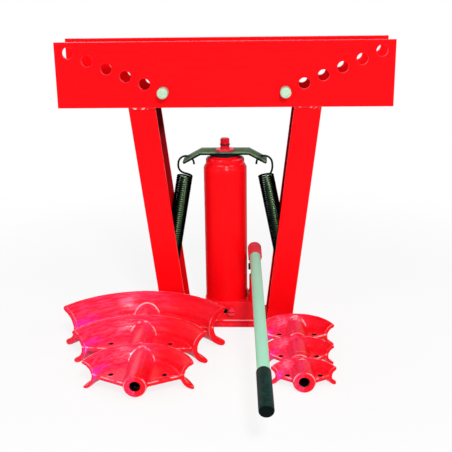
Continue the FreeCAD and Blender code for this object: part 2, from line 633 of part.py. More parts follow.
# Ram rod with the piston and its seal on the lower end
ram = turned("ram", [
    ("0", PISTON_BOTTOM), ("ram_spigot / 2", PISTON_BOTTOM), ("ram_spigot / 2", PISTON_TOP),
    ("ram_dia / 2", PISTON_TOP), ("ram_dia / 2", f"{RAM_TOP} - 1"), ("ram_dia / 2 - 1", RAM_TOP),
    ("stud_screw_dia / 2", RAM_TOP), ("stud_screw_dia / 2", f"{RAM_TOP} - stud_screw - 2"),
    ("0", f"{RAM_TOP} - stud_screw - 2")])
place(ram, x="jack_shift")
PISTON_OUT = "(cylinder_bore / 2 - 2 * fit_play)"
SEAL_FOOT = f"({PISTON_BOTTOM} + (piston_height - piston_seal_height) / 2)"
SEAL_HEAD = f"({SEAL_FOOT} + piston_seal_height)"
piston = turned("piston", [
    ("ram_spigot / 2", PISTON_BOTTOM), (PISTON_OUT, PISTON_BOTTOM), (PISTON_OUT, SEAL_FOOT),
    (f"{PISTON_OUT} - piston_seal_depth", SEAL_FOOT), (f"{PISTON_OUT} - piston_seal_depth", SEAL_HEAD),
    (PISTON_OUT, SEAL_HEAD), (PISTON_OUT, PISTON_TOP), ("ram_spigot / 2", PISTON_TOP)])
place(piston, x="jack_shift")
place(tube("piston_seal", f"{PISTON_OUT} - piston_seal_depth", "cylinder_bore / 2 - fit_play",
           SEAL_FOOT, SEAL_HEAD), x="jack_shift")

# Ram stud: screw, flange, conical root and the plain end that carries a die, with a ring groove
FLANGE_TOP = f"({WING_TOP} + stud_flange_thick)"
RING_LEVEL = f"({WING_TOP} + stud_ring_height)"
RING_SEAT = "(stud_dia / 2 - stud_ring_wire * 0.85)"
ram_stud = turned("ram_stud", [
    ("0", f"{RAM_TOP} - stud_screw"), ("stud_screw_dia / 2", f"{RAM_TOP} - stud_screw"),
    ("stud_screw_dia / 2", WING_TOP), ("stud_flange_dia / 2", WING_TOP), ("stud_flange_dia / 2", FLANGE_TOP),
    ("stud_root_dia / 2", FLANGE_TOP), ("stud_dia / 2", f"{FLANGE_TOP} + stud_root"),
    ("stud_dia / 2", f"{RING_LEVEL} - stud_ring_wire / 2"), (RING_SEAT, f"{RING_LEVEL} - stud_ring_wire / 2"),
    (RING_SEAT, f"{RING_LEVEL} + stud_ring_wire / 2"), ("stud_dia / 2", f"{RING_LEVEL} + stud_ring_wire / 2"),
    ("stud_dia / 2", f"{WING_TOP} + stud_height - stud_chamfer"),
    ("stud_dia / 2 - stud_chamfer", f"{WING_TOP} + stud_height"), ("0", f"{WING_TOP} + stud_height")])
place(ram_stud, x="jack_shift")
stud_ring = new_body("stud_ring")
spin(stud_ring, circles(stud_ring, "XZ_Plane", [(f"{RING_SEAT} + stud_ring_wire / 2", RING_LEVEL)],
                        "stud_ring_wire / 2"))
place(stud_ring, x="jack_shift")

# Spring plate: flat middle clamped under the stud, two wings bent down with a hole for each hook
WING_REACH = "((wing_span - wing_flat) / 2)"
WING_DROP = f"({WING_REACH} * tan(wing_angle * 1deg))"
WING_LEAN_OUT = "(wing_thick * sin(wing_angle * 1deg))"
WING_LEAN_DOWN = "(wing_thick * cos(wing_angle * 1deg))"
BEND_IN = "(wing_thick * tan(wing_angle * 0.5deg))"


def wing_hole(body, side):
    """Hook hole square to the wing, about the middle of the plate's depth."""
    sketch = circles(body, "XY_Plane", [("0", "0")], "wing_hole_dia / 2")
    level = f"{WING_TOP} - (wing_hole_out - wing_flat / 2) * tan(wing_angle * 1deg)"
    sketch.setExpression("AttachmentOffset.Base.x", expr(f"{side} * wing_hole_out"))
    sketch.setExpression("AttachmentOffset.Base.z", expr(level))
    sketch.setExpression("AttachmentOffset.Rotation.Pitch", expr(f"{side} * wing_angle * 1deg"))
    pocket(body, sketch, "3 * wing_thick", symmetric=True)


def spring_plate():
    body = new_body("spring_plate")
    right = [("wing_flat / 2", WING_TOP), ("wing_span / 2", f"{WING_TOP} - {WING_DROP}"),
             (f"wing_span / 2 - {WING_LEAN_OUT}", f"{WING_TOP} - {WING_DROP} - {WING_LEAN_DOWN}"),
             (f"wing_flat / 2 - {BEND_IN}", RAM_TOP)]
    left = [(f"-({x})", z) for x, z in reversed(right)]
    pad(body, outline(body, "XZ_Plane", right + left), "wing_depth")
    stud_hole = circles(body, "XY_Plane", [("0", "0")], "stud_screw_dia / 2", lift=WING_TOP)
    pocket(body, stud_hole, "2 * wing_thick")
    wing_hole(body, 1)
    wing_hole(body, -1)
    tip, bend, half = num("wing_span / 2"), num("wing_flat / 2"), num("wing_depth / 2")
    round_edges(body, "wing_corner", lambda box: abs(box.XMax) > tip - 3 and abs(box.XMin) > tip - 3
                and box.YLength < 0.01 and abs(abs(box.YMin) - half) < 0.01)
    top = num(WING_TOP)
    round_edges(body, "wing_bend", lambda box: box.YLength > 2 * half - 1 and box.XLength < 0.01
                and abs(abs(box.XMin) - bend) < 0.01 and abs(box.ZMin - top) < 0.01)
    place(body, x="jack_shift")


spring_plate()


# Return springs: a close coil, a round hook into the wing's hole and a small eye round the leg's rod.
# Drawn in the spring's own frame, coil axis down from the origin, positive x toward the jack.
def tangent_arcs(start, start_way, stop, stop_way):
    """Two arcs that join two points and leave and meet them in the given directions."""
    span, ways = stop - start, start_way + stop_way
    spread = 2 * (1 - start_way.dot(stop_way))
    along = span.dot(ways)
    if spread < 1e-9:
        reach = span.dot(span) / (4 * span.dot(stop_way))
    else:
        reach = (-along + math.sqrt(along ** 2 + spread * span.dot(span))) / spread
    first, second = start + start_way * reach, stop - stop_way * reach
    middle = (first + second) * 0.5
    edges = []
    for begin, corner, end in ((start, first, middle), (middle, second, stop)):
        centre = (begin + end) * 0.5
        half, bow = (end - begin).Length / 2, corner - centre
        if bow.Length < 1e-6:
            edges.append(Part.LineSegment(begin, end).toShape())
            continue
        turn = math.atan2(bow.Length, half)
        peak = centre + bow * (half * math.tan(turn / 2) / bow.Length)
        edges.append(Part.Arc(begin, peak, end).toShape())
    return edges


def least_gap(points, wire_dia):
    """The least gap between stretches of wire that aren't neighbours along it."""
    run = [0]
    for before, after in zip(points, points[1:]):
        run.append(run[-1] + before.distanceToPoint(after))
    nearest = min(points[i].distanceToPoint(points[j]) for i in range(len(points)) for j in range(i)
                  if run[i] - run[j] > 3 * wire_dia)
    return nearest - wire_dia


def return_spring(label, side, lean_name):
    wire_dia, pitch, turns = num("spring_wire"), num("spring_pitch"), int(num("spring_turns"))
    radius = (num("spring_outside") - wire_dia) / 2
    lean = math.radians(num(lean_name))

    def on_coil(turn):
        angle = math.pi / 2 + 2 * math.pi * turn
        point = V(radius * math.cos(angle), radius * math.sin(angle), pitch * turn)
        way = V(-math.sin(angle), math.cos(angle), pitch / (2 * math.pi * radius))
        return point, way.normalize()

    def on_ring(centre, ring, degrees, turn):
        angle = math.radians(degrees)
        point = centre + V(ring * math.cos(angle), 0, ring * math.sin(angle))
        return point, V(-math.sin(angle), 0, math.cos(angle)) * turn

    eye_centre = V(0, 0, -turns * pitch - num("eye_drop"))
    rise, inward = num("hook_rise"), num("hook_in")
    hook_centre = V(inward * math.cos(lean) - rise * math.sin(lean), 0,
                    rise * math.cos(lean) + inward * math.sin(lean))
    eye_angles, hook_angles = (num("eye_open"), 180, 270, 360), (180, 90, num("hook_tail"))
    stations = [on_ring(eye_centre, num("eye_radius"), angle, 1) for angle in eye_angles]
    stations += [on_coil(-turns + half / 2) for half in range(2 * turns + 1)]
    stations += [on_ring(hook_centre, num("hook_radius"), angle, -1) for angle in hook_angles]
    edges = []
    for (start, start_way), (stop, stop_way) in zip(stations, stations[1:]):
        edges += tangent_arcs(start, start_way, stop, stop_way)
    middle_line = Part.Wire(edges)
    first_point, first_way = stations[0]
    section = Part.Wire([Part.Circle(first_point, first_way, wire_dia / 2).toShape()])
    spring = doc.addObject("Part::Feature", label)
    spring.Label = label
    spring.Shape = middle_line.makePipeShell([section], True, False)
    points = [point for edge in edges for point in edge.discretize(13)[:-1]]
    gap = least_gap(points, wire_dia)
    print(f"{label}: wire {middle_line.Length:.0f} mm, least gap to itself {gap:.2f} mm")
    place(spring, x=f"jack_shift + {side} * {COIL_OUT}", z=COIL_TOP,
          yaw=f"90 + {side} * 90", pitch=lean_name)
    pieces.append(spring)


return_spring("left_spring", -1, "left_lean")
return_spring("right_spring", 1, "right_lean")

# Pressure pins through both plates, in the innermost holes
PIN_REACH = "(plate_gap / 2 + plate_thick)"
for pin_label, pin_side in (("left_pin", -1), ("right_pin", 1)):
    pin = rod(pin_label, "pin_dia / 2", f"-{PIN_REACH} - pin_back", f"{PIN_REACH} + pin_front", "pin_chamfer")
    place(pin, x=f"{pin_side} * {PIN_OUT}", z=PIN_LEVEL, roll="90")

# Pressure rollers: waisted, so that the pipe lies in them and the springs pass beside them
ROLLER_HALF = f"({FLANGE_INSIDE} - roller_side)"
WAIST_HALF = f"({ROLLER_HALF} - roller_land)"
WAIST_DEEP = "((roller_dia - roller_waist) / 2)"
WAIST_RADIUS = f"(({WAIST_HALF} ^ 2 + {WAIST_DEEP} ^ 2) / (2 * {WAIST_DEEP}))"
for roller_label, roller_at in (("left_roller", -1), ("right_roller", 1)):
    roller = turned(roller_label, [
        ("pin_dia / 2 + roller_play", f"-{ROLLER_HALF}"), ("roller_dia / 2", f"-{ROLLER_HALF}"),
        ("roller_dia / 2", f"-{WAIST_HALF}", WAIST_RADIUS, -1), ("roller_dia / 2", WAIST_HALF),
        ("roller_dia / 2", ROLLER_HALF), ("pin_dia / 2 + roller_play", ROLLER_HALF)])
    place(roller, x=f"{roller_at} * {PIN_OUT}", z=PIN_LEVEL, roll="90")


# Pump group: drawn about the pump's own axis, turned a little with the handle.
# Negative y runs forward to the grip.
def place_at_pump(piece, back="0", level="0", right="0", roll="0", pitch="0"):
    """Put a piece at a distance behind and right of the pump axis, turned with the pump group."""
    turn = "pump_swing * 1deg"
    x = f"jack_shift + {PUMP_OUT} - ({back}) * sin({turn}) + ({right}) * cos({turn})"
    y = f"-pump_front + ({back}) * cos({turn}) + ({right}) * sin({turn})"
    return place(piece, x=x, y=y, z=level, yaw="pump_swing", pitch=pitch, roll=roll)


# Pump barrel: hexagon, plain outside, bore with a seal at its top
def pump_barrel():
    body = turned("pump_barrel", box_corners("0", "barrel_dia / 2", BARREL_BOTTOM, BARREL_TOP))
    nut = outline(body, "XY_Plane", hexagon("barrel_hex"), lift=CASTING_TOP)
    pad(body, nut, "barrel_hex_height", symmetric=False)
    way = "plunger_dia / 2 + fit_play"
    spin(body, outline(body, "XZ_Plane", [
        ("0", f"{BARREL_BOTTOM} - 1"), (way, f"{BARREL_BOTTOM} - 1"),
        (way, f"{BARREL_TOP} - pump_seal_height"),
        (f"{way} + pump_seal_depth", f"{BARREL_TOP} - pump_seal_height"),
        (f"{way} + pump_seal_depth", f"{BARREL_TOP} + 1"), ("0", f"{BARREL_TOP} + 1")]), cut=True)
    place_at_pump(body)


pump_barrel()
place_at_pump(tube("pump_seal", "plunger_dia / 2 + fit_play", "plunger_dia / 2 + fit_play + pump_seal_depth",
                   f"{BARREL_TOP} - pump_seal_height", BARREL_TOP))

# Levels of the three pivots: the plunger pin swings evenly above and below the fulcrum's level
PLUNGER_PIN = f"({BARREL_TOP} + plunger_pin_level)"
FULCRUM = f"({PLUNGER_PIN} + pivot_gap * sin(handle_swing * 0.5deg))"
LINK_FOOT = f"({CASTING_TOP} + link_root)"
TONGUE = "(ear_inside - 2 * seat_gap)"


# Plunger: round rod with a flat eye whose hole is a short slot, so that the pin can swing
def pump_plunger():
    rod_top = f"({PLUNGER_PIN} - ear_round - plunger_neck)"
    body = turned("pump_plunger", [
        ("0", f"{BARREL_BOTTOM} + plunger_foot"), ("plunger_dia / 2 - 1", f"{BARREL_BOTTOM} + plunger_foot"),
        ("plunger_dia / 2", f"{BARREL_BOTTOM} + plunger_foot + 1"), ("plunger_dia / 2", rod_top),
        ("0", rod_top)])
    half = "plunger_eye / 2"
    eye = [(f"-{half}", f"{rod_top} - 1"), (half, f"{rod_top} - 1"),
           (half, PLUNGER_PIN, f"{half} * 1.02", 1), (f"-{half}", PLUNGER_PIN)]
    pad(body, outline(body, "YZ_Plane", eye), TONGUE)
    hole = "pivot_dia / 2 + seat_gap"
    ends = [("-eye_slot", PLUNGER_PIN), ("eye_slot", PLUNGER_PIN)]
    for end in ends:
        pocket(body, circles(body, "YZ_Plane", [end], hole), "2 * ear_inside", symmetric=True)
    slot = box_corners("-eye_slot", "eye_slot", f"{PLUNGER_PIN} - ({hole})", f"{PLUNGER_PIN} + ({hole})")
    pocket(body, outline(body, "YZ_Plane", slot), "2 * ear_inside", symmetric=True)
    place_at_pump(body)


pump_plunger()


# Link between the casting and the fulcrum, in a bracket with two ears
def pump_link():
    body = new_body("pump_link")
    half = "link_depth / 2"
    bar = [(f"-{half}", LINK_FOOT, f"{half} * 1.02", 1), (half, LINK_FOOT),
           (half, FULCRUM, f"{half} * 1.02", 1), (f"-{half}", FULCRUM)]
    pad(body, outline(body, "YZ_Plane", bar), TONGUE)
    pins = circles(body, "YZ_Plane", [("0", LINK_FOOT), ("0", FULCRUM)], "pivot_dia / 2 + fit_play")
    pocket(body, pins, "2 * ear_inside", symmetric=True)
    place_at_pump(body, back=FULCRUM_BACK)


def link_bracket():
    body = new_body("link_bracket")
    half = "link_depth / 2"
    block = [(f"-{half}", CASTING_TOP), (half, CASTING_TOP), (half, LINK_FOOT, f"{half} * 1.02", 1),
             (f"-{half}", LINK_FOOT)]
    pad(body, outline(body, "YZ_Plane", block), "ear_inside + 2 * ear_thick")
    gap = box_corners("-ear_inside / 2", "ear_inside / 2", f"{CASTING_TOP} + bracket_floor",
                      f"{LINK_FOOT} + link_depth")
    pocket(body, outline(body, "XZ_Plane", gap), "2 * link_depth", symmetric=True)
    pin_hole = circles(body, "YZ_Plane", [("0", LINK_FOOT)], "pivot_dia / 2")
    pocket(body, pin_hole, "4 * ear_inside", symmetric=True)
    place_at_pump(body, back=FULCRUM_BACK)


pump_link()
link_bracket()


# Pivot pins: drawn along Z, head on the lower side
def pivot_pin(label):
    half = "(ear_inside / 2 + ear_thick)"
    return turned(label, [
        ("0", f"-{half} - pivot_head"), ("pivot_head_dia / 2 - 0.6", f"-{half} - pivot_head"),
        ("pivot_head_dia / 2", f"-{half} - pivot_head + 0.6"), ("pivot_head_dia / 2", f"-{half}"),
        ("pivot_dia / 2", f"-{half}"), ("pivot_dia / 2", f"{half} + 1.4"),
        ("pivot_dia / 2 - 0.6", f"{half} + 2"), ("0", f"{half} + 2")])


place_at_pump(pivot_pin("link_pin"), back=FULCRUM_BACK, level=LINK_FOOT, pitch="-90")
place_at_pump(pivot_pin("fulcrum_pin"), back=FULCRUM_BACK, level=FULCRUM, pitch="-90")
PIN_BACK = f"({FULCRUM_BACK} - pivot_gap * cos(handle_swing * 0.5deg))"
place_at_pump(pivot_pin("plunger_pin"), back=PIN_BACK, level=PLUNGER_PIN, pitch="90")


# Handle group: drawn along Z toward the grip, Y up, from the foot of the fulcrum's square line
# on the handle's axis.
def place_on_handle(piece, along="0"):
    droop = "handle_droop * 1deg"
    back = f"{FULCRUM_BACK} - socket_drop * sin({droop}) - ({along}) * cos({droop})"
    level = f"{FULCRUM} + socket_drop * cos({droop}) - ({along}) * sin({droop})"
    return place_at_pump(piece, back=back, level=level, roll="90 + handle_droop")


# Handle socket: tube for the bar on two ears that carry the fulcrum pin and the plunger pin
def handle_socket():
    body = new_body("handle_socket")
    tilt = "((handle_swing * 0.5 - handle_droop) * 1deg)"
    far_up, far_along = f"(-socket_drop - pivot_gap * sin({tilt}))", f"(pivot_gap * cos({tilt}))"
    low_up, low_along = f"(ear_round * cos({tilt}))", f"(ear_round * sin({tilt}))"
    ears = [("-socket_drop", "-ear_round", "ear_round", 1),
            (f"-socket_drop - {low_up}", f"-{low_along}"),
            (f"{far_up} - {low_up}", f"{far_along} - {low_along}", "ear_round", 1),
            (far_up, f"{far_along} + ear_round"), ("0", "socket_front - 8"), ("0", "socket_back")]
    pad(body, outline(body, "YZ_Plane", ears), "ear_inside + 2 * ear_thick")
    gap = box_corners("-3 * socket_drop", "-socket_dia / 2 - 1", "-2 * socket_drop", "2 * socket_front")
    pocket(body, outline(body, "YZ_Plane", gap), "ear_inside", symmetric=True)
    spin(body, outline(body, "XZ_Plane", [
        ("0", "socket_back"), ("socket_dia / 2 - 3", "socket_back"), ("socket_dia / 2", "socket_back + 3"),
        ("socket_dia / 2", "socket_front"), ("0", "socket_front")]))
    bore = box_corners("0", "bar_dia / 2 + bar_play", "socket_back + socket_end", "socket_front + 1")
    spin(body, outline(body, "XZ_Plane", bore), cut=True)
    pins = circles(body, "YZ_Plane", [("-socket_drop", "0"), (far_up, far_along)], "pivot_dia / 2")
    pocket(body, pins, "4 * ear_inside", symmetric=True)
    place_on_handle(body)


handle_socket()
BAR_START = "(socket_back + socket_end + seat_gap)"
BAR_END = f"({BAR_START} + bar_length)"
place_on_handle(rod("handle_bar", "bar_dia / 2", BAR_START, BAR_END, "bar_chamfer"))
grip = turned("handle_grip", [
    ("bar_dia / 2", f"{BAR_END} - grip_length"), ("grip_dia / 2 - 0.8", f"{BAR_END} - grip_length"),
    ("grip_dia / 2", f"{BAR_END} - grip_length + 0.8"),
    ("grip_dia / 2", f"{BAR_END} + grip_end - grip_round", "grip_round * 1.5", 1),
    ("grip_dia / 2 - grip_round", f"{BAR_END} + grip_end"), ("0", f"{BAR_END} + grip_end"), ("0", BAR_END),
    ("bar_dia / 2 - bar_chamfer", BAR_END), ("bar_dia / 2", f"{BAR_END} - bar_chamfer")])
place_on_handle(grip)


# Release valve: stem with a seal in its groove, slotted head in front of the casting
def release_valve():
    stem, seat = "valve_dia / 2", "(valve_dia / 2 - valve_seal_depth)"
    low, high = "(-valve_seal_back - valve_seal_width)", "(-valve_seal_back)"
    body = turned("release_valve", [
        ("0", "-valve_depth"), (stem, "-valve_depth"), (stem, low), (seat, low), (seat, high), (stem, high),
        (stem, "1"), ("valve_head_dia / 2 - 1", "1"), ("valve_head_dia / 2", "2"),
        ("valve_head_dia / 2", "valve_head"), ("valve_head_dia / 2 - 1", "valve_head + 1"),
        ("0", "valve_head + 1")])
    slot = box_corners("-valve_head_dia", "valve_head_dia", "-valve_slot / 2", "valve_slot / 2")
    pocket(body, outline(body, "XY_Plane", slot, lift="valve_head + 1"), "valve_head / 2")
    seal = tube("valve_seal", seat, stem, low, high)
    for piece in (body, seal):
        place(piece, x="jack_shift + valve_out", y=f"-{FRONT}", z="base_thick + valve_level", roll="90")


release_valve()


# Dies: a gutter swept round the bend's centre, a socketed hub and a web between them.
# Drawn about the centre of the bend at the height of the hub's axis; they lie on the floor.
def die(name):
    pipe, wall, rim, angle = (f"{name}_{part}" for part in ("pipe", "wall", "rim", "angle"))
    length, hub = f"{name}_length", f"{name}_hub"
    outer = f"({pipe} + {wall})"
    lip = f"({rim} - lip_bulge * {wall})"
    centre = f"({rim} + lip_share * {pipe})"
    high_out = f"sqrt({outer} ^ 2 - ({centre} - {lip}) ^ 2)"
    high_in = f"sqrt({pipe} ^ 2 - ({centre} - {lip}) ^ 2)"
    lip_radius = f"({high_out} - {high_in}) * 0.52"
    front = f"({rim} - {length})"
    body = new_body(f"die_{name}")
    # gutter with rounded lips
    gutter = [(lip, high_out, outer, 1), (lip, f"-{high_out}", lip_radius, 1),
              (lip, f"-{high_in}", pipe, -1), (lip, high_in, lip_radius, 1)]
    spin(body, outline(body, "YZ_Plane", gutter), angle=f"2 * {angle}")
    # hub, meeting the gutter's back in a cone
    meet = f"min({hub} + hub_flare; 0.85 * {outer})"
    back = f"({centre} - sqrt({outer} ^ 2 - ({meet}) ^ 2))"
    spin(body, outline(body, "YZ_Plane", [
        (front, "0"), (back, "0"), (back, meet), (f"{back} - hub_flare_length", hub),
        (f"{front} + hub_chamfer", hub), (front, f"{hub} - hub_chamfer")]), axis="H_Axis")
    # web, level with the hub's axis
    web_radius = f"({centre} - {outer} + {wall} / 2)"
    reach, depth = f"({web_radius} * sin({angle} * 1deg))", f"({web_radius} * cos({angle} * 1deg))"
    web = [(reach, depth, web_radius, 1), (f"-{reach}", depth),
           (f"-0.8 * {hub}", f"{front} + 4"), (f"0.8 * {hub}", f"{front} + 4")]
    pad(body, outline(body, "XY_Plane", web), "web_thick")
    hole_depth = f"({front} + 0.4 * ({web_radius} - {front}))"
    hole_out = f"(0.6 * sqrt({web_radius} ^ 2 - {hole_depth} ^ 2))"
    places = [(hole_out, hole_depth), (f"-{hole_out}", hole_depth)]
    holes = circles(body, "XY_Plane", places, "web_hole_dia / 2")
    pocket(body, holes, "2 * web_thick", symmetric=True)
    # the pipe's channel runs on through the hub, and the hub is bored for the ram stud
    spin(body, circles(body, "YZ_Plane", [(centre, "0")], pipe), cut=True)
    bore = box_corners(f"{front} - 1", f"{front} + socket_depth", "0", "socket_bore / 2")
    spin(body, outline(body, "YZ_Plane", bore), axis="H_Axis", cut=True)
    place(body, x=f"{name}_out", y=f"-{name}_front - {rim}", z=f"max({hub}; {high_out})")


for die_name, *die_values in DIES:
    die(die_name)

# Check and write one file for each piece
doc.recompute()
for thing in doc.Objects:
    if "Invalid" in thing.State or "Error" in thing.State:
        raise RuntimeError(f"{thing.Label} did not recompute")
for piece in pieces:
    if piece.Shape.isNull() or not piece.Shape.isValid() or piece.Shape.Volume <= 0:
        raise RuntimeError(f"{piece.Label} has no sound shape")
os.makedirs("parts", exist_ok=True)
for piece in pieces:
    piece.Shape.exportStep(f"parts/{piece.Label}.step")
print(f"{len(pieces)} pieces written")
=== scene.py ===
# Hydraulic pipe bender: a welded frame over a hand-pumped jack, with six loose bending dies in front.
# The file follows the machine as it is put together. Sizes are in millimetres, turned to metres by MM.
# END and SIDE say how far from its middle a piece ends. The handle is measured from its fulcrum.
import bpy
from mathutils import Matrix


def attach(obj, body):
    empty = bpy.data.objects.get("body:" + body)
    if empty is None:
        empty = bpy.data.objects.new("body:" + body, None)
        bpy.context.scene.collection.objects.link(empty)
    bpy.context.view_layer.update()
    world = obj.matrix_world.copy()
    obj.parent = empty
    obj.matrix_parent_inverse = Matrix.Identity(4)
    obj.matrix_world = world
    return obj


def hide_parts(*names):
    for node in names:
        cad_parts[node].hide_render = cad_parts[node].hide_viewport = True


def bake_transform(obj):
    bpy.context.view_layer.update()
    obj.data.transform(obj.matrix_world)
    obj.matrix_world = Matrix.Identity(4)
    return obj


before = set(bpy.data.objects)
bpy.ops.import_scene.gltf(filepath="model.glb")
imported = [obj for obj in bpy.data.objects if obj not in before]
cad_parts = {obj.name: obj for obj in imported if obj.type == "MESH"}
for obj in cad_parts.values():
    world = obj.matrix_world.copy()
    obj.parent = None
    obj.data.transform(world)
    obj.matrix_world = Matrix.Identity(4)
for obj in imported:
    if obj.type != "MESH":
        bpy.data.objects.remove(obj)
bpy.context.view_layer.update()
import bpy
import bmesh
import math
from mathutils import Matrix, Vector

# Base plate: a flat bar of 10 mm steel with four holes for the jack's screws. It is sheared and drilled,
# welded to the legs, and sprayed red together with the whole frame.
MM = 0.001
JACK_X = -2
BASE_END, BASE_SIDE, BASE_THICK = 134.5, 46, 10
SCREW_X, SCREW_Y, SCREW_HOLE = 36, 33, 6.8
HOLE_SIDES = 48
RED, DEEP_RED, PALE_RED = (0.95, 0.0022, 0.0055), (0.72, 0.0012, 0.0040), (0.97, 0.030, 0.075)
# GLINT is a painted glint for the weld beads; the colour after it is painted shade for the legs' channels.
GLINT, CHANNEL_SHADE = (1.0, 0.80, 0.84), (0.085, 0.0018, 0.0060)


class Shade:
    """A socket in a finish. Arithmetic on it adds Math nodes, and node() adds any other node."""

    def __init__(self, tree, socket):
        self.tree, self.socket = tree, socket

    def node(self, kind, settings=None, inputs=None, out=0):
        made = self.tree.nodes.new(kind)
        for name, value in (settings or {}).items():
            setattr(made, name, value)
        for name, value in (inputs or {}).items():
            if isinstance(value, Shade):
                self.tree.links.new(value.socket, made.inputs[name])
            else:
                made.inputs[name].default_value = value
        return Shade(self.tree, made.outputs[out])

    def math(self, operation, *values):
        return self.node("ShaderNodeMath", {"operation": operation}, dict(enumerate(values)))

    def __add__(self, other):
        return self.math("ADD", self, other)

    def __sub__(self, other):
        return self.math("SUBTRACT", self, other)

    def __rsub__(self, other):
        return self.math("SUBTRACT", other, self)

    def __mul__(self, other):
        return self.math("MULTIPLY", self, other)

    def __truediv__(self, other):
        return self.math("DIVIDE", self, other)

    def __pow__(self, other):
        return self.math("POWER", self, other)

    def __abs__(self):
        return self.math("ABSOLUTE", self)

    __radd__, __rmul__ = __add__, __mul__


def finish(name, fixed):
    """A material: gives it, its shader and its Object coordinates."""
    material = bpy.data.materials.new(name)
    material.use_nodes = True
    tree = material.node_tree
    shader = tree.nodes["Principled BSDF"]
    for socket, value in fixed.items():
        shader.inputs[socket].default_value = value
    return material, shader, Shade(tree, tree.nodes.new("ShaderNodeTexCoord").outputs["Object"])


def coat_with(shader, **layers):
    """Link base_color, roughness, coat_weight or normal of a shader."""
    for name, shade in layers.items():
        socket = shader.inputs[name.replace("_", " ").title()]
        shade.tree.links.new(shade.socket, socket)


def axis(where, name):
    """A place's X, Y or Z, in metres."""
    return where.node("ShaderNodeSeparateXYZ", {}, {"Vector": where}, out=name)


def noise(where, scale, detail=2.0, roughness=0.5):
    """Soft random values about a half, in patches of one over the scale, in metres."""
    return where.node("ShaderNodeTexNoise", {}, {"Vector": where, "Scale": scale, "Detail": detail,
                                                 "Roughness": roughness})


def fade(value, low, high):
    """0 below low, 1 above high, smooth between."""
    return value.node("ShaderNodeMapRange", {"interpolation_type": "SMOOTHSTEP"},
                      {"Value": value, "From Min": low, "From Max": high})


def largest(first, *others):
    """The largest of a shade and other shades or numbers."""
    for other in others:
        first = first.math("MAXIMUM", first, other)
    return first


def mix(share, first, second):
    """Two colours mixed by a share."""
    colours = {6: first if isinstance(first, Shade) else (*first, 1),
               7: second if isinstance(second, Shade) else (*second, 1)}
    return share.node("ShaderNodeMix", {"data_type": "RGBA"}, {0: share, **colours}, out=2)


def relief(height, depth, strength=1.0):
    """A normal from a height between 0 and 1, that stands for a depth in millimetres."""
    return height.node("ShaderNodeBump", {}, {"Height": height, "Distance": depth * MM,
                                              "Strength": strength})


def sprayed_red(name, edge=None, shade_inside=None, gloss=0.03):
    """Enamel on sheet metal: faint clouds, fine orange peel, dust nibs. Where edge(where) nears 1 the paint
    is drawn fine and rubbed pale, and where it passes 1.1 a painted glint goes on. Where the shade mask nears
    1, painted shade darkens it to a near black red."""
    material, shader, where = finish(name, {"Specular IOR Level": 0.05, "Coat Weight": gloss,
                                            "Coat Roughness": 0.14})
    clouds = noise(where, 9, 3)
    colour = mix(fade(clouds, 0.46, 0.80) * 0.30, RED, DEEP_RED)
    nibs = fade(noise(where, 900, 1), 0.70, 0.80)
    colour = mix(nibs * 0.25, colour, DEEP_RED)
    rough = 0.32 + noise(where, 30, 4) * 0.12
    height = noise(where, 420, 2) * 0.7 + noise(where, 60, 3) * 1.5 + nibs * 0.4
    if edge:
        wear_and_glint_share = edge(where)
        rubbed = fade(noise(where, 120, 4, 0.65) + wear_and_glint_share * 0.5, 0.78, 1.0)
        colour = mix(rubbed * 0.55, colour, PALE_RED)
        # Past 1.1 the mask, which only the weld beads reach, lays on a painted glint.
        colour = mix(fade(wear_and_glint_share, 1.1, 2.8) * 0.95, colour, GLINT)
        rough = rough - rubbed * 0.10
        height = height - rubbed * 0.6
    # Painted shade: a near black red laid over the enamel inside the legs' channels.
    if shade_inside:
        shade_share = shade_inside(where) * (0.80 + 0.40 * noise(where, 26, 4))
        colour = mix(shade_share, colour, CHANNEL_SHADE)
        rough = rough + 0.2 * shade_share
    coat_with(shader, base_color=colour, roughness=rough, normal=relief(height, 0.06, 0.55))
    return material


def add_object(name, data):
    """An object in the scene for a mesh, curve, lamp or camera."""
    thing = bpy.data.objects.new(name, data)
    bpy.context.scene.collection.objects.link(thing)
    return thing


def mesh_piece(name, mesh, material, sharp=38):
    """An object from a mesh in its place, smooth but for edges that turn by more than sharp degrees."""
    mesh.materials.clear()
    mesh.materials.append(material)
    mesh.shade_smooth()
    mesh.set_sharp_from_angle(angle=math.radians(sharp))
    return add_object(name, mesh)


def as_mesh(thing):
    """The plain mesh that an object's modifiers or curve come to; the object itself goes."""
    bpy.context.view_layer.update()
    evaluated = thing.evaluated_get(bpy.context.evaluated_depsgraph_get())
    mesh = bpy.data.meshes.new_from_object(evaluated)
    bpy.data.objects.remove(thing)
    return mesh


def tidy(mesh, near=0.001):
    """Merge doubles that lie within near millimetres, and turn every face outwards."""
    work = bmesh.new()
    work.from_mesh(mesh)
    bmesh.ops.remove_doubles(work, verts=work.verts, dist=near * MM)
    bmesh.ops.recalc_face_normals(work, faces=work.faces)
    work.to_mesh(mesh)
    work.free()
    return mesh


def rectangle(left, right, low, high):
    return [(left, low), (right, low), (right, high), (left, high)]


def circle(x, y, radius):
    turns = [i / HOLE_SIDES * 2 * math.pi for i in range(HOLE_SIDES)]
    return [(x + radius * math.cos(turn), y + radius * math.sin(turn)) for turn in turns]


def curve_object(runs, closed=False, **settings):
    """A curve object with straight pieces through each run's points, which are in millimetres."""
    curve = bpy.data.curves.new("runs", "CURVE")
    for name, value in settings.items():
        setattr(curve, name, value)
    for run in runs:
        spline = curve.splines.new("POLY")
        spline.points.add(len(run) - 1)
        spline.use_cyclic_u = closed
        for point, place in zip(spline.points, run):
            x, y, z = (*place, 0)[:3]
            point.co = (x * MM, y * MM, z * MM, 1)
    return add_object("runs", curve)


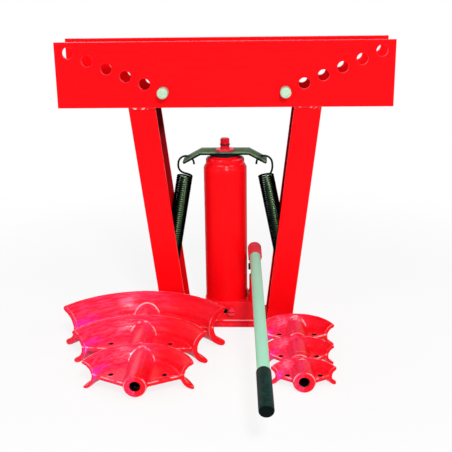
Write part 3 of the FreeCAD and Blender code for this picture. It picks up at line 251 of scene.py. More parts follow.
def flat_cut(outline, holes, thick, edge):
    """A plate in the XY plane about z = 0, with holes as (x, y, radius), all edges rounded. Millimetres."""
    blank = curve_object([outline] + [circle(*hole) for hole in holes], closed=True, dimensions="2D",
                         fill_mode="BOTH", extrude=(thick / 2 - edge) * MM, bevel_depth=edge * MM,
                         offset=-edge * MM, bevel_resolution=2)
    return tidy(as_mesh(blank), 0.01)


def fit(piece, body, slot, *stands_for):
    """Hang a finished piece on its body and hide the model's pieces that it stands for. The slot is not used.
    """
    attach(piece, body)
    if stands_for:
        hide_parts(*stands_for)


def near_base_edge(where):
    """Near 1 along the base plate's rim."""
    return largest(fade(abs(axis(where, "X")), (BASE_END - 3) * MM, BASE_END * MM),
                   fade(abs(axis(where, "Y")), (BASE_SIDE - 2.5) * MM, BASE_SIDE * MM))


screw_holes = [(JACK_X + i * SCREW_X, j * SCREW_Y, SCREW_HOLE) for i in (-1, 1) for j in (-1, 1)]
slab = flat_cut(rectangle(-BASE_END, BASE_END, -BASE_SIDE, BASE_SIDE), screw_holes, BASE_THICK, 1)
slab.transform(Matrix.Translation((0, 0, BASE_THICK / 2 * MM)))
base = mesh_piece("base_slab", slab, sprayed_red("base_enamel", near_base_edge))
fit(base, "frame", "frame_paint", "base_plate")


# Base screws: four flat-headed steel screws from below, with a hexagon socket, zinc plated.
# They are turned and headed, and hold the jack's casting down on the base plate.
def plated_steel(name, colour, rough=0.34, wear_and_highlight=1.0):
    """Turned metal, uncoated or thinly coated: fine tool marks and dull blooms, as far as its wear goes."""
    material, shader, where = finish(name, {"Metallic": 1.0})
    bloom = noise(where, 140, 4)
    shade = mix(fade(bloom, 0.35, 0.75) * wear_and_highlight, colour, tuple(0.72 * c for c in colour))
    coat_with(shader, base_color=shade, roughness=rough + noise(where, 500, 3) * 0.2 * wear_and_highlight,
              normal=relief(noise(where, 1400, 2), 0.01, 0.4 * wear_and_highlight))
    return material


def keep(material, *names):
    """Model pieces that stay as they are, in a better finish."""
    for name in names:
        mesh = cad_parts[name].data
        mesh.materials.clear()
        mesh.materials.append(material)


zinc = plated_steel("zinc_coat", (0.58, 0.59, 0.60))
keep(zinc, *[f"base_screw_{end}_{side}" for end in ("front", "rear") for side in ("left", "right")])

# Legs: two rolled steel channels with their open side inward, leaning outwards up to the plates.
# Each is sawn square to the floor at both ends, welded to the base plate and between the plates.
PLATE_LOW = 445
LEG_OUT, LEG_OUT_AT_PLATES = 128.5, 180.3
LEG_SLOPE = (LEG_OUT_AT_PLATES - LEG_OUT) / PLATE_LOW
LEG_FLANGE, LEG_SIDE, LEG_WALL, LEG_HEIGHT = 51, 42, 6, 457
LEG_TIP = LEG_OUT - LEG_FLANGE
ARC_STEP = 0.26


def rounded(corners):
    """A closed outline of (x, y) or (x, y, radius) corners, the radii drawn as arcs in steps of ARC_STEP."""
    outline = []
    for i, corner in enumerate(corners):
        x, y, radius = (*corner, 0)[:3]
        if not radius:
            outline.append((x, y))
            continue
        here = Vector((x, y))
        back = (Vector(corners[i - 1][:2]) - here).normalized()
        ahead = (Vector(corners[(i + 1) % len(corners)][:2]) - here).normalized()
        half = back.angle(ahead) / 2
        centre = here + (back + ahead).normalized() * (radius / math.sin(half))
        reach = radius / math.tan(half)
        first, last = here + back * reach - centre, here + ahead * reach - centre
        turn = first.angle_signed(last)
        parts = max(2, int(abs(turn) / ARC_STEP))
        for part in range(parts + 1):
            spoke = Matrix.Rotation(-turn * part / parts, 2) @ first
            outline.append((centre.x + spoke.x, centre.y + spoke.y))
    return outline


def channel(side):
    """One leg: a channel section drawn at floor level and sheared up along its slope."""
    web, flange = LEG_OUT - LEG_WALL, LEG_SIDE - LEG_WALL
    section = [(LEG_TIP, -LEG_SIDE, 1.2), (LEG_OUT, -LEG_SIDE, 3), (LEG_OUT, LEG_SIDE, 3),
               (LEG_TIP, LEG_SIDE, 1.2), (LEG_TIP, flange, 1.6), (web, flange, 5), (web, -flange, 5),
               (LEG_TIP, -flange, 1.6)]
    outline = [(side * x, y) for x, y in rounded(section)]
    mesh = flat_cut(outline, [], LEG_HEIGHT, 0.7)
    lift = Matrix.Translation((0, 0, (BASE_THICK + LEG_HEIGHT / 2) * MM))
    lean = Matrix(((1, 0, side * LEG_SLOPE, 0), (0, 1, 0, 0), (0, 0, 1, 0), (0, 0, 0, 1)))
    mesh.transform(lean @ lift)
    return mesh


def painted_channel_shade(where):
    """The share of painted shade: near 1 on the channel's web and the inner sides of its flanges,
    most of all up between the plates, which shade them.
    """
    level = axis(where, "Z")
    depth = abs(axis(where, "X")) - level * LEG_SLOPE - LEG_TIP * MM
    flange, web = LEG_SIDE - LEG_WALL, LEG_FLANGE - LEG_WALL
    off_flange = 1 - fade(abs(axis(where, "Y")), (flange + 0.2) * MM, (flange + 1.2) * MM)
    off_web = 1 - fade(depth, (web + 0.8) * MM, (web + 2) * MM)
    return off_flange * off_web * (0.12 + 0.80 * fade(level, 50 * MM, 430 * MM))


# Inside the channels, painted shade darkens the enamel, most of all up under the plates.
leg_paint = sprayed_red("leg_enamel", shade_inside=painted_channel_shade)
for side, word in ((-1, "left"), (1, "right")):
    leg = mesh_piece(f"{word}_channel", channel(side), leg_paint)
    fit(leg, "frame", "frame_paint", f"{word}_leg")

# Bending plates: two flat bars, sawn to length, each drilled with two slanting rows of six holes.
# They stand on edge outside the legs, so that pins pushed through both take the pipe's force.
PLATE_END, PLATE_TOP, PLATE_THICK, PLATE_Y = 310, 565, 8, 46
HOLES, HOLE_RADIUS = 6, 10.5
HOLE_OUT, HOLE_TOP, HOLE_STEP, HOLE_DROP = 285.5, 545.6, 34.65, 14.38
UPRIGHT = Matrix.Rotation(math.pi / 2, 4, "X")


def hypotenuse(across, along):
    return (across * across + along * along) ** 0.5


def near_plate_edge(where):
    """Near 1 along the bar's edges and round its holes, where paint gets knocked."""
    x, z = abs(axis(where, "X")), axis(where, "Z")
    middle, half = (PLATE_TOP + PLATE_LOW) / 2, (PLATE_TOP - PLATE_LOW) / 2
    ends = fade(x, (PLATE_END - 2.5) * MM, PLATE_END * MM)
    edges = fade(abs(z - middle * MM), (half - 2.2) * MM, half * MM)
    steps_in = (HOLE_OUT * MM - x) / (HOLE_STEP * MM)
    hole = largest(steps_in.math("ROUND", steps_in), 0)
    hole = hole.math("MINIMUM", hole, HOLES - 1)
    off_x = x - (HOLE_OUT * MM - hole * (HOLE_STEP * MM))
    off_z = z - (HOLE_TOP * MM - hole * (HOLE_DROP * MM))
    off_hole = fade(hypotenuse(off_x, off_z), HOLE_RADIUS * MM, (HOLE_RADIUS + 1.7) * MM)
    return largest(ends, edges, 1 - off_hole)


pin_holes = [(side * (HOLE_OUT - i * HOLE_STEP), HOLE_TOP - i * HOLE_DROP, HOLE_RADIUS)
             for i in range(HOLES) for side in (-1, 1)]
plate_paint = sprayed_red("plate_enamel", near_plate_edge)
for side, word in ((-1, "front"), (1, "rear")):
    bar = flat_cut(rectangle(-PLATE_END, PLATE_END, PLATE_LOW, PLATE_TOP), pin_holes, PLATE_THICK, 0.8)
    bar.transform(Matrix.Translation((0, side * PLATE_Y * MM, 0)) @ UPRIGHT)
    fit(mesh_piece(f"{word}_bending_bar", bar, plate_paint), "frame", "frame_paint", f"{word}_plate")

# Weld beads: rows of overlapping ripples that join the legs to the plates and to the base plate.
# They are laid by hand, a little uneven, and painted over with the frame; some ripples carry a painted glint.
SEAM_OUT, SEAM_UNDER_PLATES, SEAM_ON_BASE, LEG_FOOT = 43.4, 443.6, 10.8, 11


def tree_with(name, *sockets):
    """An empty geometry tree with named inputs, among them a finish; gives it and what it is given."""
    tree = bpy.data.node_groups.new(name, "GeometryNodeTree")
    tree.interface.new_socket("Geometry", in_out="OUTPUT", socket_type="NodeSocketGeometry")
    for label, kind in (("Geometry", "Geometry"), *sockets, ("Finish", "Material")):
        tree.interface.new_socket(label, in_out="INPUT", socket_type=f"NodeSocket{kind}")
    return tree, tree.nodes.new("NodeGroupInput").outputs


def step(tree, kind, inputs, settings=None):
    """Add a node to a geometry tree, its settings first, then its linked or plain inputs."""
    made = tree.nodes.new(kind)
    for name, value in (settings or {}).items():
        setattr(made, name, value)
    for name, value in inputs.items():
        if isinstance(value, bpy.types.NodeSocket):
            tree.links.new(value, made.inputs[name])
        else:
            made.inputs[name].default_value = value
    return made.outputs[0]


def close_tree(tree, geometry, finish):
    """End a tree with its geometry, made plain and in its finish."""
    plain = step(tree, "GeometryNodeRealizeInstances", {"Geometry": geometry})
    dressed = step(tree, "GeometryNodeSetMaterial", {"Geometry": plain, "Material": finish})
    tree.links.new(dressed, tree.nodes.new("NodeGroupOutput").inputs[0])


def grow(name, tree, thing, values):
    """Run a geometry tree on an object with its named inputs set, and give the plain mesh."""
    work = thing.modifiers.new(name, "NODES")
    work.node_group = tree
    sockets = {item.name: item.identifier for item in tree.interface.items_tree
               if item.item_type == "SOCKET" and item.in_out == "INPUT"}
    for label, value in values.items():
        work[sockets[label]] = value
    return as_mesh(thing)


bead_tree, given = tree_with("weld_bead", ("Ripple spacing", "Float"), ("Bead radius", "Float"),
                             ("Seed", "Int"))
line = step(bead_tree, "GeometryNodeResampleCurve",
            {"Curve": given["Geometry"], "Length": given["Ripple spacing"]}, {"mode": "LENGTH"})
drop = step(bead_tree, "GeometryNodeMeshUVSphere",
            {"Segments": 12, "Rings": 8, "Radius": given["Bead radius"]})
uneven = step(bead_tree, "FunctionNodeRandomValue",
              {"Min": (0.78, 0.82, 0.80), "Max": (0.98, 1.06, 1.04), "Seed": given["Seed"]},
              {"data_type": "FLOAT_VECTOR"})
ripples = step(bead_tree, "GeometryNodeInstanceOnPoints", {"Points": line, "Instance": drop, "Scale": uneven})
close_tree(bead_tree, ripples, given["Finish"])


def painted_bead_glints(where):
    """Scattered ripples of the beads that carry a painted glint."""
    return 3.2 * fade(noise(where, 110, 3), 0.51, 0.59)


def leg_x(side, level, inset):
    """The X of a point that lies in from a leg's outer face by its inset, at a level."""
    return side * (LEG_OUT + LEG_SLOPE * level - inset)


seams = []
for side in (-1, 1):
    for y in (-SEAM_OUT, SEAM_OUT):
        seams.append([(leg_x(side, SEAM_UNDER_PLATES, inset), y, SEAM_UNDER_PLATES) for inset in (48, 3)])
        seams.append([(leg_x(side, LEG_FOOT, inset), 0.98 * y, SEAM_ON_BASE) for inset in (49, 1)])
    seams.append([(leg_x(side, LEG_FOOT, -0.6), y, SEAM_ON_BASE) for y in (-40, 40)])
bead_paint = sprayed_red("bead_enamel", edge=painted_bead_glints, gloss=0.7)
beads = grow("beads", bead_tree, curve_object(seams, dimensions="3D"),
             {"Ripple spacing": 1.7 * MM, "Bead radius": 2.9 * MM, "Seed": 4, "Finish": bead_paint})
fit(mesh_piece("frame_weld_beads", beads, bead_paint, 180), "frame", "frame_paint")

# Spring rods: a round steel bar across each leg's channel, for the spring's lower eye to hook on.
# Each is welded in at both ends and sprayed with the frame.
keep(sprayed_red("rod_enamel"), "left_spring_rod", "right_spring_rod")


# Jack casting: an iron block with the pump's lug on its right, cast, machined on top and painted.
# Its rough skin and soft corners show under the gloss.
def cast_red(name, pale=0.0, gloss=0.10, gloss_and_glint=None, glint_tone=(1.0, 0.50, 0.56), brushed=None, dark=None,
             painted_sheens=None):
    """Enamel brushed over a cast skin: lumpy at two scales, with a share of paler paint. Where the gloss mask
    nears 1 the coat is thick and shiny, and the colour turns to a pale painted glint. brushed(where) gives
    the coordinates the brush followed. dark(where) nears 1 where unpainted iron is made near black as painted
    shade, and the sheen mask gives shares of painted reflection: pink, magenta and a white sheen."""
    material, shader, where = finish(name, {"Specular IOR Level": 0.05, "Coat Weight": gloss,
                                            "Coat Roughness": 0.13})
    skin = noise(where, 260, 5, 0.6)
    lumps = noise(where, 45, 3)
    paint = tuple(red + (light - red) * pale for red, light in zip(RED, PALE_RED))
    colour = mix(fade(lumps, 0.40, 0.75) * 0.30, paint, DEEP_RED)
    rough = 0.28 + noise(where, 70, 4) * 0.14
    height = skin * 0.8 + lumps * 2.2
    if brushed:
        stroke = noise(brushed(where), 5.5, 5, 0.66)
        # Painted reflections: pink, magenta and white sheens; the dark mix among them is brush streaks.
        pink_sheen, violet_sheen, sheen = painted_sheens(where)
        colour = mix(pink_sheen * (0.45 + fade(stroke, 0.42, 0.64)) * 0.56, colour, (0.98, 0.056, 0.185))
        colour = mix((1 - fade(stroke, 0.34, 0.50)) * 0.45, colour, (0.93, 0.0030, 0.012))
        colour = mix(violet_sheen * (0.45 + fade(stroke, 0.40, 0.62) * 0.5), colour, (0.98, 0.035, 0.480))
        colour = mix(sheen * (0.10 + fade(stroke, 0.38, 0.64) * 0.55), colour, (0.98, 0.220, 0.370))
        rough = rough + (stroke - 0.5) * 0.30
        height = height + stroke * 2.4
    if dark:
        # Painted shade: bores and holes go near black over their unpainted iron.
        colour = mix(dark(where), colour, (0.006, 0.0035, 0.0035))
    # Thick paint raises the coat; its pale colour is a painted glint.
    if gloss_and_glint:
        run = gloss_and_glint(where)
        coat_with(shader, coat_weight=gloss + run * (1 - gloss))
        colour = mix(run * 0.8, colour, glint_tone)
    coat_with(shader, base_color=colour, roughness=rough, normal=relief(height, 0.10, 0.6))
    return material


def merged_copy(name):
    """A copy of a model piece's mesh with its loose triangles merged."""
    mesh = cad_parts[name].data.copy()
    work = bmesh.new()
    work.from_mesh(mesh)
    bmesh.ops.remove_doubles(work, verts=work.verts, dist=0.002 * MM)
    bmesh.ops.dissolve_limit(work, angle_limit=math.radians(0.4), verts=work.verts, edges=work.edges)
    work.to_mesh(mesh)
    work.free()
    return mesh


def worked(mesh, *changes):
    """A mesh after modifiers, each a kind and its settings."""
    thing = add_object("work", mesh)
    for kind, settings in changes:
        modifier = thing.modifiers.new(kind.lower(), kind)
        for name, value in settings.items():
            setattr(modifier, name, value)
    return as_mesh(thing)


def as_cast(mesh, grain, rounds):
    """Run a mesh's corners and hollows together as a casting's are, at a grain in millimetres."""
    return worked(mesh, ("REMESH", {"mode": "VOXEL", "voxel_size": grain * MM}),
                  ("SMOOTH", {"factor": 0.5, "iterations": rounds}))


def line_at(value, level, narrow, wide):
    """1 within narrow millimetres of where a value is at a level, and 0 beyond wide ones."""
    return 1 - fade(abs(value - level * MM), narrow * MM, wide * MM)


def painted_foot_glint(where):
    """A painted glint in pale lengths along the casting's foot, where the coat is also glossier."""
    return line_at(axis(where, "Z"), 14.6, 0.4, 1.1) * fade(noise(where, 40, 3), 0.32, 0.46)


casting_paint = cast_red("casting_enamel", 0.22, 0.14, painted_foot_glint)
casting = mesh_piece("jack_casting", as_cast(merged_copy("jack_base"), 1.1, 6), casting_paint, 60)
fit(casting, "frame", "frame_paint", "jack_base")


# Plugs and valve balls: steel screw plugs close the drilled oil ways of the casting, blacked in oil.
# Hardened and ground balls lie on their seats inside it.
def oiled_wire(name, crest=False):
    """Steel blacked in oil: nearly black green, with a green glint, and fine marks of drawing or turning.
    With crest, the piece's own attribute of that name gives the crests, rubbed bright and
    carrying a painted highlight."""
    material, shader, where = finish(name, {"Metallic": 1.0, "Specular Tint": (0.10, 0.16, 0.15, 1)})
    film = noise(where, 90, 4)
    colour = mix(fade(film, 0.35, 0.75), (0.0050, 0.0130, 0.0120), (0.0140, 0.0340, 0.0220))
    rough = 0.24 + noise(where, 300, 3) * 0.2
    if crest:
        rubbed = fade(where.node("ShaderNodeAttribute", {"attribute_name": "crest"}, out="Fac"), 0.76, 0.97)
        # Rubbed crests with a green painted highlight.
        colour = mix(rubbed * (0.6 + 0.4 * film), colour, (0.150, 0.270, 0.110))
        rough = rough - rubbed * 0.12
    coat_with(shader, base_color=colour, roughness=rough, normal=relief(noise(where, 1100, 2), 0.015, 0.4))
    return material


keep(oiled_wire("blacked_plugs"), "front_passage_plug", "side_passage_plug")
keep(zinc, "suction_ball", "delivery_ball", "release_ball")

# Reservoir: a drawn steel tube round the pressure cylinder, painted, with a filler plug at the back.
# The pressure cylinder, honed inside, stands in it on a washer and is out of sight.
TANK_RADIUS, TANK_BORE, TANK_FOOT, TANK_TOP = 42, 38, 54, 316
JACK = Matrix.Translation((JACK_X * MM, 0, 0))


def lathe(profile, place, parts=128):
    """A turned mesh from a closed outline of (radius, height), in millimetres, about Z, then put in place."""
    work = bmesh.new()
    rings = []
    for radius, height in profile:
        if radius < 1e-6:
            rings.append([work.verts.new((0, 0, height * MM))] * parts)
            continue
        rings.append([work.verts.new((radius * MM * math.cos(2 * math.pi * i / parts),
                                      radius * MM * math.sin(2 * math.pi * i / parts), height * MM))
                      for i in range(parts)])
    for ring, following in zip(rings, rings[1:] + rings[:1]):
        for i in range(parts):
            loop = [ring[i], ring[(i + 1) % parts], following[(i + 1) % parts], following[i]]
            corners = list(dict.fromkeys(loop))
            if len(corners) > 2:
                work.faces.new(corners)
    mesh = bpy.data.meshes.new("turned")
    work.to_mesh(mesh)
    work.free()
    mesh.transform(place)
    return tidy(mesh)


tank = rounded([(TANK_BORE, TANK_FOOT, 0.4), (TANK_RADIUS, TANK_FOOT, 0.8), (TANK_RADIUS, TANK_TOP, 0.5),
                (TANK_BORE, TANK_TOP, 0.4)])
tank_shell = mesh_piece("reservoir_shell", lathe(tank, JACK), sprayed_red("tank_enamel"))
fit(tank_shell, "frame", "frame_paint", "reservoir_tube")
bronze = plated_steel("bearing_bronze", (0.62, 0.42, 0.17), 0.30)
honed = plated_steel("honed_steel", (0.55, 0.55, 0.56), 0.26, 0.5)
keep(bronze, "cylinder_washer", "ram_bush", "piston")
keep(honed, "pressure_cylinder")
keep(plated_steel("plug_steel", (0.33, 0.30, 0.28), 0.42), "filler_plug")

# Top nut: turned from steel, its skirt screwed into the reservoir and its neck closing on the ram.
# It is painted with the jack; a black dust ring lies on it and wipes the ram.
NUT_FOOT, NUT_TOP, NUT_SKIRT, NUT_BORE, NUT_STEP = 304, 345, 37.9, 28, 328
NUT_CREASE, NUT_BROW = 330.8, 340.0
nut = rounded([(NUT_BORE, NUT_FOOT), (NUT_SKIRT, NUT_FOOT), (NUT_SKIRT, 308), (35.5, 308), (35.5, 312),
               (NUT_SKIRT, 312), (NUT_SKIRT, TANK_TOP), (TANK_RADIUS, TANK_TOP), (TANK_RADIUS, 322, 6),
               (37.0, NUT_CREASE, 0.7), (37.6, 332.8, 1.5), (37.2, 339.2, 3.5), (30, 342.8, 2),
               (28.6, NUT_TOP, 0.4), (19.4, NUT_TOP), (19.4, NUT_STEP), (NUT_BORE, NUT_STEP)])


def painted_nut_glints(where):
    """Painted glints, in lengths where the coat is glossier: in the crease under the neck and along its brow.
    """
    level = axis(where, "Z")
    lines = largest(line_at(level, NUT_CREASE, 0.5, 1.3), line_at(level, NUT_BROW, 0.5, 1.5))
    return lines * fade(noise(where, 55, 3), 0.46, 0.58) * 0.55


nut_paint = cast_red("nut_enamel", 0.04, 0.06, painted_nut_glints, (1.0, 0.18, 0.30))
fit(mesh_piece("gland_nut", lathe(nut, JACK), nut_paint), "frame", "frame_paint", "top_nut")


def black_rubber(name, colour=(0.005, 0.007, 0.009), rough=0.5, end_shade=None):
    """Moulded rubber: faintly mottled, with the mould's fine skin, and darkened by painted shade
    where the shade mask nears 1.
    """
    material, shader, where = finish(name, {"Specular IOR Level": 0.05})
    mottle = noise(where, 120, 4)
    shade = mix(fade(mottle, 0.3, 0.8), colour, tuple(2.2 * c for c in colour))
    if end_shade:
        shade = mix(end_shade(where), shade, tuple(0.2 * c for c in colour))
    coat_with(shader, base_color=shade, roughness=rough + mottle * 0.2,
              normal=relief(noise(where, 1500, 2), 0.02, 0.5))
    return material


rubber = black_rubber("seal_rubber_skin")
wiper = rounded([(19.1, NUT_TOP), (29, NUT_TOP, 0.4), (29, 349.5, 1.3), (21, 349.5, 0.6), (20, 348, 0.3),
                 (19.1, 348)])
fit(mesh_piece("wiper_ring", lathe(wiper, JACK), rubber), "frame", "seal_rubber", "dust_ring")
keep(rubber, "reservoir_seal", "piston_seal", "valve_seal", "pump_seal")

# Ram and stud: a ground, hard-chromed rod; on its end a red stud with a flange that clamps the spring
# plate, and a rubber ring in a groove that grips the die's socket.
RAM_RADIUS, RAM_FOOT, RAM_TOP, SPIGOT_TOP, THREAD_FOOT = 19, 51, 350, 67, 324
STUD_RADIUS, STUD_TOP, FLANGE_RADIUS, FLANGE_FOOT, FLANGE_TOP = 8.8, 378, 18.2, 354, 357
RING_LEVEL, RING_GROOVE = 366, 1.2


def crimson(name):
    """Deep red enamel on the turned stud; the flange and what lies below it are painted paler as a highlight.
    """
    material, shader, where = finish(name, {"Specular IOR Level": 0.06, "Coat Weight": 0.16,
                                            "Coat Roughness": 0.12})
    streak = noise(where, 160, 4)
    colour = mix(fade(streak, 0.40, 0.65), (0.46, 0.0012, 0.010), (0.80, 0.0030, 0.016))
    # Painted highlight: up to the flange's top the red is mixed paler, as lit from above.
    painted_lit_flange = 1 - fade(axis(where, "Z"), (FLANGE_TOP + 0.2) * MM, (FLANGE_TOP + 2) * MM)
    colour = mix(painted_lit_flange * (0.5 + 0.5 * fade(streak, 0.36, 0.6)), colour, (0.86, 0.040, 0.085))
    coat_with(shader, base_color=colour, roughness=0.30 + streak * 0.15,
              normal=relief(noise(where, 700, 2), 0.02, 0.5))
    return material


chrome = plated_steel("hard_chrome", (0.66, 0.67, 0.69), 0.16, 0.15)
ram = rounded([(0, RAM_FOOT), (10, RAM_FOOT, 0.6), (10, SPIGOT_TOP), (RAM_RADIUS, SPIGOT_TOP, 0.5),
               (RAM_RADIUS, RAM_TOP, 1.0), (7, RAM_TOP), (7, THREAD_FOOT), (0, THREAD_FOOT)])
fit(mesh_piece("ram_rod", lathe(ram, JACK), chrome), "ram", "ram_chrome", "ram")
stud = rounded([(0, 326), (7, 326, 1), (7, FLANGE_FOOT), (FLANGE_RADIUS, FLANGE_FOOT, 0.5),
                (FLANGE_RADIUS, FLANGE_TOP, 0.9), (9.8, FLANGE_TOP, 1.2), (STUD_RADIUS, 361, 1),
                (STUD_RADIUS, RING_LEVEL - RING_GROOVE), (6.76, RING_LEVEL - RING_GROOVE),
                (6.76, RING_LEVEL + RING_GROOVE), (STUD_RADIUS, RING_LEVEL + RING_GROOVE),
                (STUD_RADIUS, STUD_TOP - 1.6, 0.6), (7.3, STUD_TOP, 0.5), (0, STUD_TOP)])
fit(mesh_piece("die_stud", lathe(stud, JACK), crimson("stud_enamel")), "ram", "bright_steel", "ram_stud")
groove_ring = [(8.2 + 1.65 * math.cos(a / 10 * math.pi), RING_LEVEL + 1.4 * math.sin(a / 10 * math.pi))
               for a in range(20)]
fit(mesh_piece("stud_o_ring", lathe(groove_ring, JACK, 64), rubber), "ram", "seal_rubber", "stud_ring")

# Spring plate: 4 mm strip bent down at both ends, with a hole near each tip for the spring's hook.
# It is cut by shears and left olive with a dull lacquer, with near black painted shade below its top.
WING_TOP, WING_BEND, WING_ANGLE = 354, 47, math.radians(28.5)


def olive_lacquer(name):
    """Dull clouded lacquer: a painted highlight near the strip's front and back edges, near black painted
    shade on the faces below its top, and dark chips.
    """
    material, shader, where = finish(name, {"Specular IOR Level": 0.04})
    clouds = noise(where, 60, 5, 0.6)
    colour = mix(fade(clouds, 0.30, 0.70), (0.034, 0.070, 0.040), (0.075, 0.138, 0.066))
    # Painted highlight: a bright band toward the strip's front and back edges.
    wear_and_highlight = fade(abs(axis(where, "Y")), 12 * MM, 20 * MM) * fade(clouds, 0.30, 0.60)
    colour = mix(wear_and_highlight, colour, (0.190, 0.340, 0.150))
    past_bend = abs(axis(where, "X") - JACK_X * MM) - WING_BEND * MM
    below = WING_TOP * MM - largest(past_bend, 0) * math.tan(WING_ANGLE) - axis(where, "Z")
    # Painted shade, near black, on every face below the top, with dark chips scattered over it all.
    dark = fade(below, 0.3 * MM, 0.8 * MM) + fade(noise(where, 320, 5, 0.7), 0.56, 0.68) * 0.6
    colour = mix(dark.math("MINIMUM", dark, 1), colour, (0.003, 0.008, 0.008))
    coat_with(shader, base_color=colour, roughness=0.42 + clouds * 0.2,
              normal=relief(noise(where, 500, 3) + clouds, 0.05, 0.5))
    return material


def softened(name, width, material, piece_name):
    """A model piece with its hard edges rounded by a width in millimetres."""
    mesh = worked(merged_copy(name), ("BEVEL", {"width": width * MM, "segments": 2, "limit_method": "ANGLE",
                                                "angle_limit": math.radians(30)}))
    return mesh_piece(piece_name, mesh, material, 32)


wings = softened("spring_plate", 0.7, olive_lacquer("olive_lacquer"), "spring_wings")
fit(wings, "ram", "wing_paint", "spring_plate")

# Return springs: close-wound from hard wire, 40 turns, a round hook bent up at the top through the spring
# plate's hole and a small eye bent at the foot round its rod. Oiled black, greenish where light grazes.
COIL_RADIUS, WIRE_RADIUS, PITCH, TURNS, POINTS_A_TURN = 13.8, 1.95, 4.45, 40, 28
COIL_LENGTH = PITCH * TURNS
EYE_RADIUS, EYE_DROP, HOOK_RADIUS, HOOK_RISE, HOOK_IN = 8, 13, 15.3, 22.7, 3
SPRING_OUT, SPRING_TOP = 79.2, 305


def spring_line(side, lean):
    """Points along one spring's wire, from its lower eye up the coil to the tip of its hook."""
    points = []

    def ring(centre, radius, first, last, count):
        for i in range(count + 1):
            a = math.radians(first + (last - first) * i / count)
            points.append(centre + Vector((radius * math.cos(a), 0, radius * math.sin(a))))

    def bridge(end, way_in, way_out, count):
        """A smooth run from the last point to the next, leaving and meeting them in the given directions."""
        begin, reach = points[-1].copy(), (end - points[-1]).length * 1.15
        for i in range(1, count):
            t = i / count
            points.append(begin * (2 * t ** 3 - 3 * t ** 2 + 1) + way_in * reach * (t ** 3 - 2 * t ** 2 + t)
                          + end * (3 * t ** 2 - 2 * t ** 3) + way_out * reach * (t ** 3 - t ** 2))

    def winding(turn):
        """A point of the coil and the wire's direction there, so many turns up from the coil's top."""
        a = math.pi / 2 + 2 * math.pi * turn
        return (Vector((COIL_RADIUS * math.cos(a), COIL_RADIUS * math.sin(a), PITCH * turn)),
                Vector((-math.sin(a), math.cos(a), PITCH / (2 * math.pi * COIL_RADIUS))).normalized())

    up = Vector((0, 0, 1))
    ring(Vector((0, 0, -COIL_LENGTH - EYE_DROP)), EYE_RADIUS, 80, 360, 30)
    foot, foot_way = winding(-TURNS)
    bridge(foot, up, foot_way, 10)
    for i in range(TURNS * POINTS_A_TURN + 1):
        points.append(winding(-TURNS + i / POINTS_A_TURN)[0])
    hook = Vector((HOOK_IN * math.cos(lean) - HOOK_RISE * math.sin(lean), 0,
                   HOOK_RISE * math.cos(lean) + HOOK_IN * math.sin(lean)))
    bridge(hook + Vector((-HOOK_RADIUS, 0, 0)), winding(0)[1], up, 12)
    ring(hook, HOOK_RADIUS, 180, 6, 36)
    stand = Matrix.Translation((JACK_X + side * SPRING_OUT, 0, SPRING_TOP))
    turned = Matrix.Rotation(math.pi / 2 * (1 + side), 4, "Z") @ Matrix.Rotation(lean, 4, "Y")
    return [stand @ turned @ point for point in points]


wire_tree, given = tree_with("spring_wire", ("Wire radius", "Float"), ("Sides", "Int"))
section = step(wire_tree, "GeometryNodeCurvePrimitiveCircle",
               {"Resolution": given["Sides"], "Radius": given["Wire radius"]})
wire = step(wire_tree, "GeometryNodeCurveToMesh",
            {"Curve": given["Geometry"], "Profile Curve": section, "Fill Caps": True})
close_tree(wire_tree, wire, given["Finish"])


def crest_wear_and_glint(place, way):
    """How far out on its wire's crest a point lies: rubbed crests, with a painted highlight added
    on the coil's front and back.
    """
    along = place.dot(way) / MM
    spoke = place - way * place.dot(way)
    crest = (spoke.length / MM - COIL_RADIUS) / WIRE_RADIUS if -2 < along < COIL_LENGTH + 4 else 0
    facing = abs(spoke.normalized().dot(Vector((0.20, -0.98, 0))))
    return crest * (0.80 + 0.20 * min(1, max(0, (facing - 0.94) / 0.05)))


spring_skin = oiled_wire("oiled_spring_wire", crest=True)
for side, word, lean in ((-1, "left", math.radians(10.2)), (1, "right", math.radians(11.4))):
    coil = grow("wire", wire_tree, curve_object([spring_line(side, lean)], dimensions="3D"),
                {"Wire radius": WIRE_RADIUS * MM, "Sides": 14, "Finish": spring_skin})
    spring = mesh_piece(f"{word}_coil", tidy(coil), spring_skin, 60)
    top = Vector(((JACK_X + side * SPRING_OUT) * MM, 0, SPRING_TOP * MM))
    down = Vector((side * math.sin(lean), 0, -math.cos(lean)))
    rubbed = spring.data.attributes.new("crest", "FLOAT", "POINT")
    rubbed.data.foreach_set("value", [crest_wear_and_glint(vert.co - top, down) for vert in spring.data.vertices])
    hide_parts(f"{word}_spring")
    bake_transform(spring)

# Pressure pins: 20 mm bright bar, sawn and chamfered, pushed through both plates by hand.
# Their ends keep the saw's grain; the rollers on them are waisted like a pulley to hold the pipe.
PIN_RADIUS, PIN_BACK, PIN_FRONT = 10, -58, 70
ROLLER_RADIUS, ROLLER_BORE, ROLLER_END, ROLLER_EDGE = 25, 10.3, 35, 0.6
WAIST_DEPTH, WAIST_END = 13, 31


def bright_bar(name, colour, speckle, bright):
    """Zinc-coated bar with a pale green cast: speckled, clouded, with fine marks of handling."""
    material, shader, where = finish(name, {"Metallic": bright, "Specular IOR Level": 0.12})
    mottle = noise(where, 420, 5, 0.7)
    shade = mix(fade(mottle, 0.36, 0.68), tuple(c * (1 - speckle) for c in colour), colour)
    bloom = noise(where, 22, 3)
    shade = mix(fade(bloom, 0.4, 0.8) * speckle, shade, tuple(min(1, c * 1.15) for c in colour))
    coat_with(shader, base_color=shade, roughness=0.40 + bloom * 0.16,
              normal=relief(mottle, 0.01 + 0.2 * speckle, 0.5))
    return material


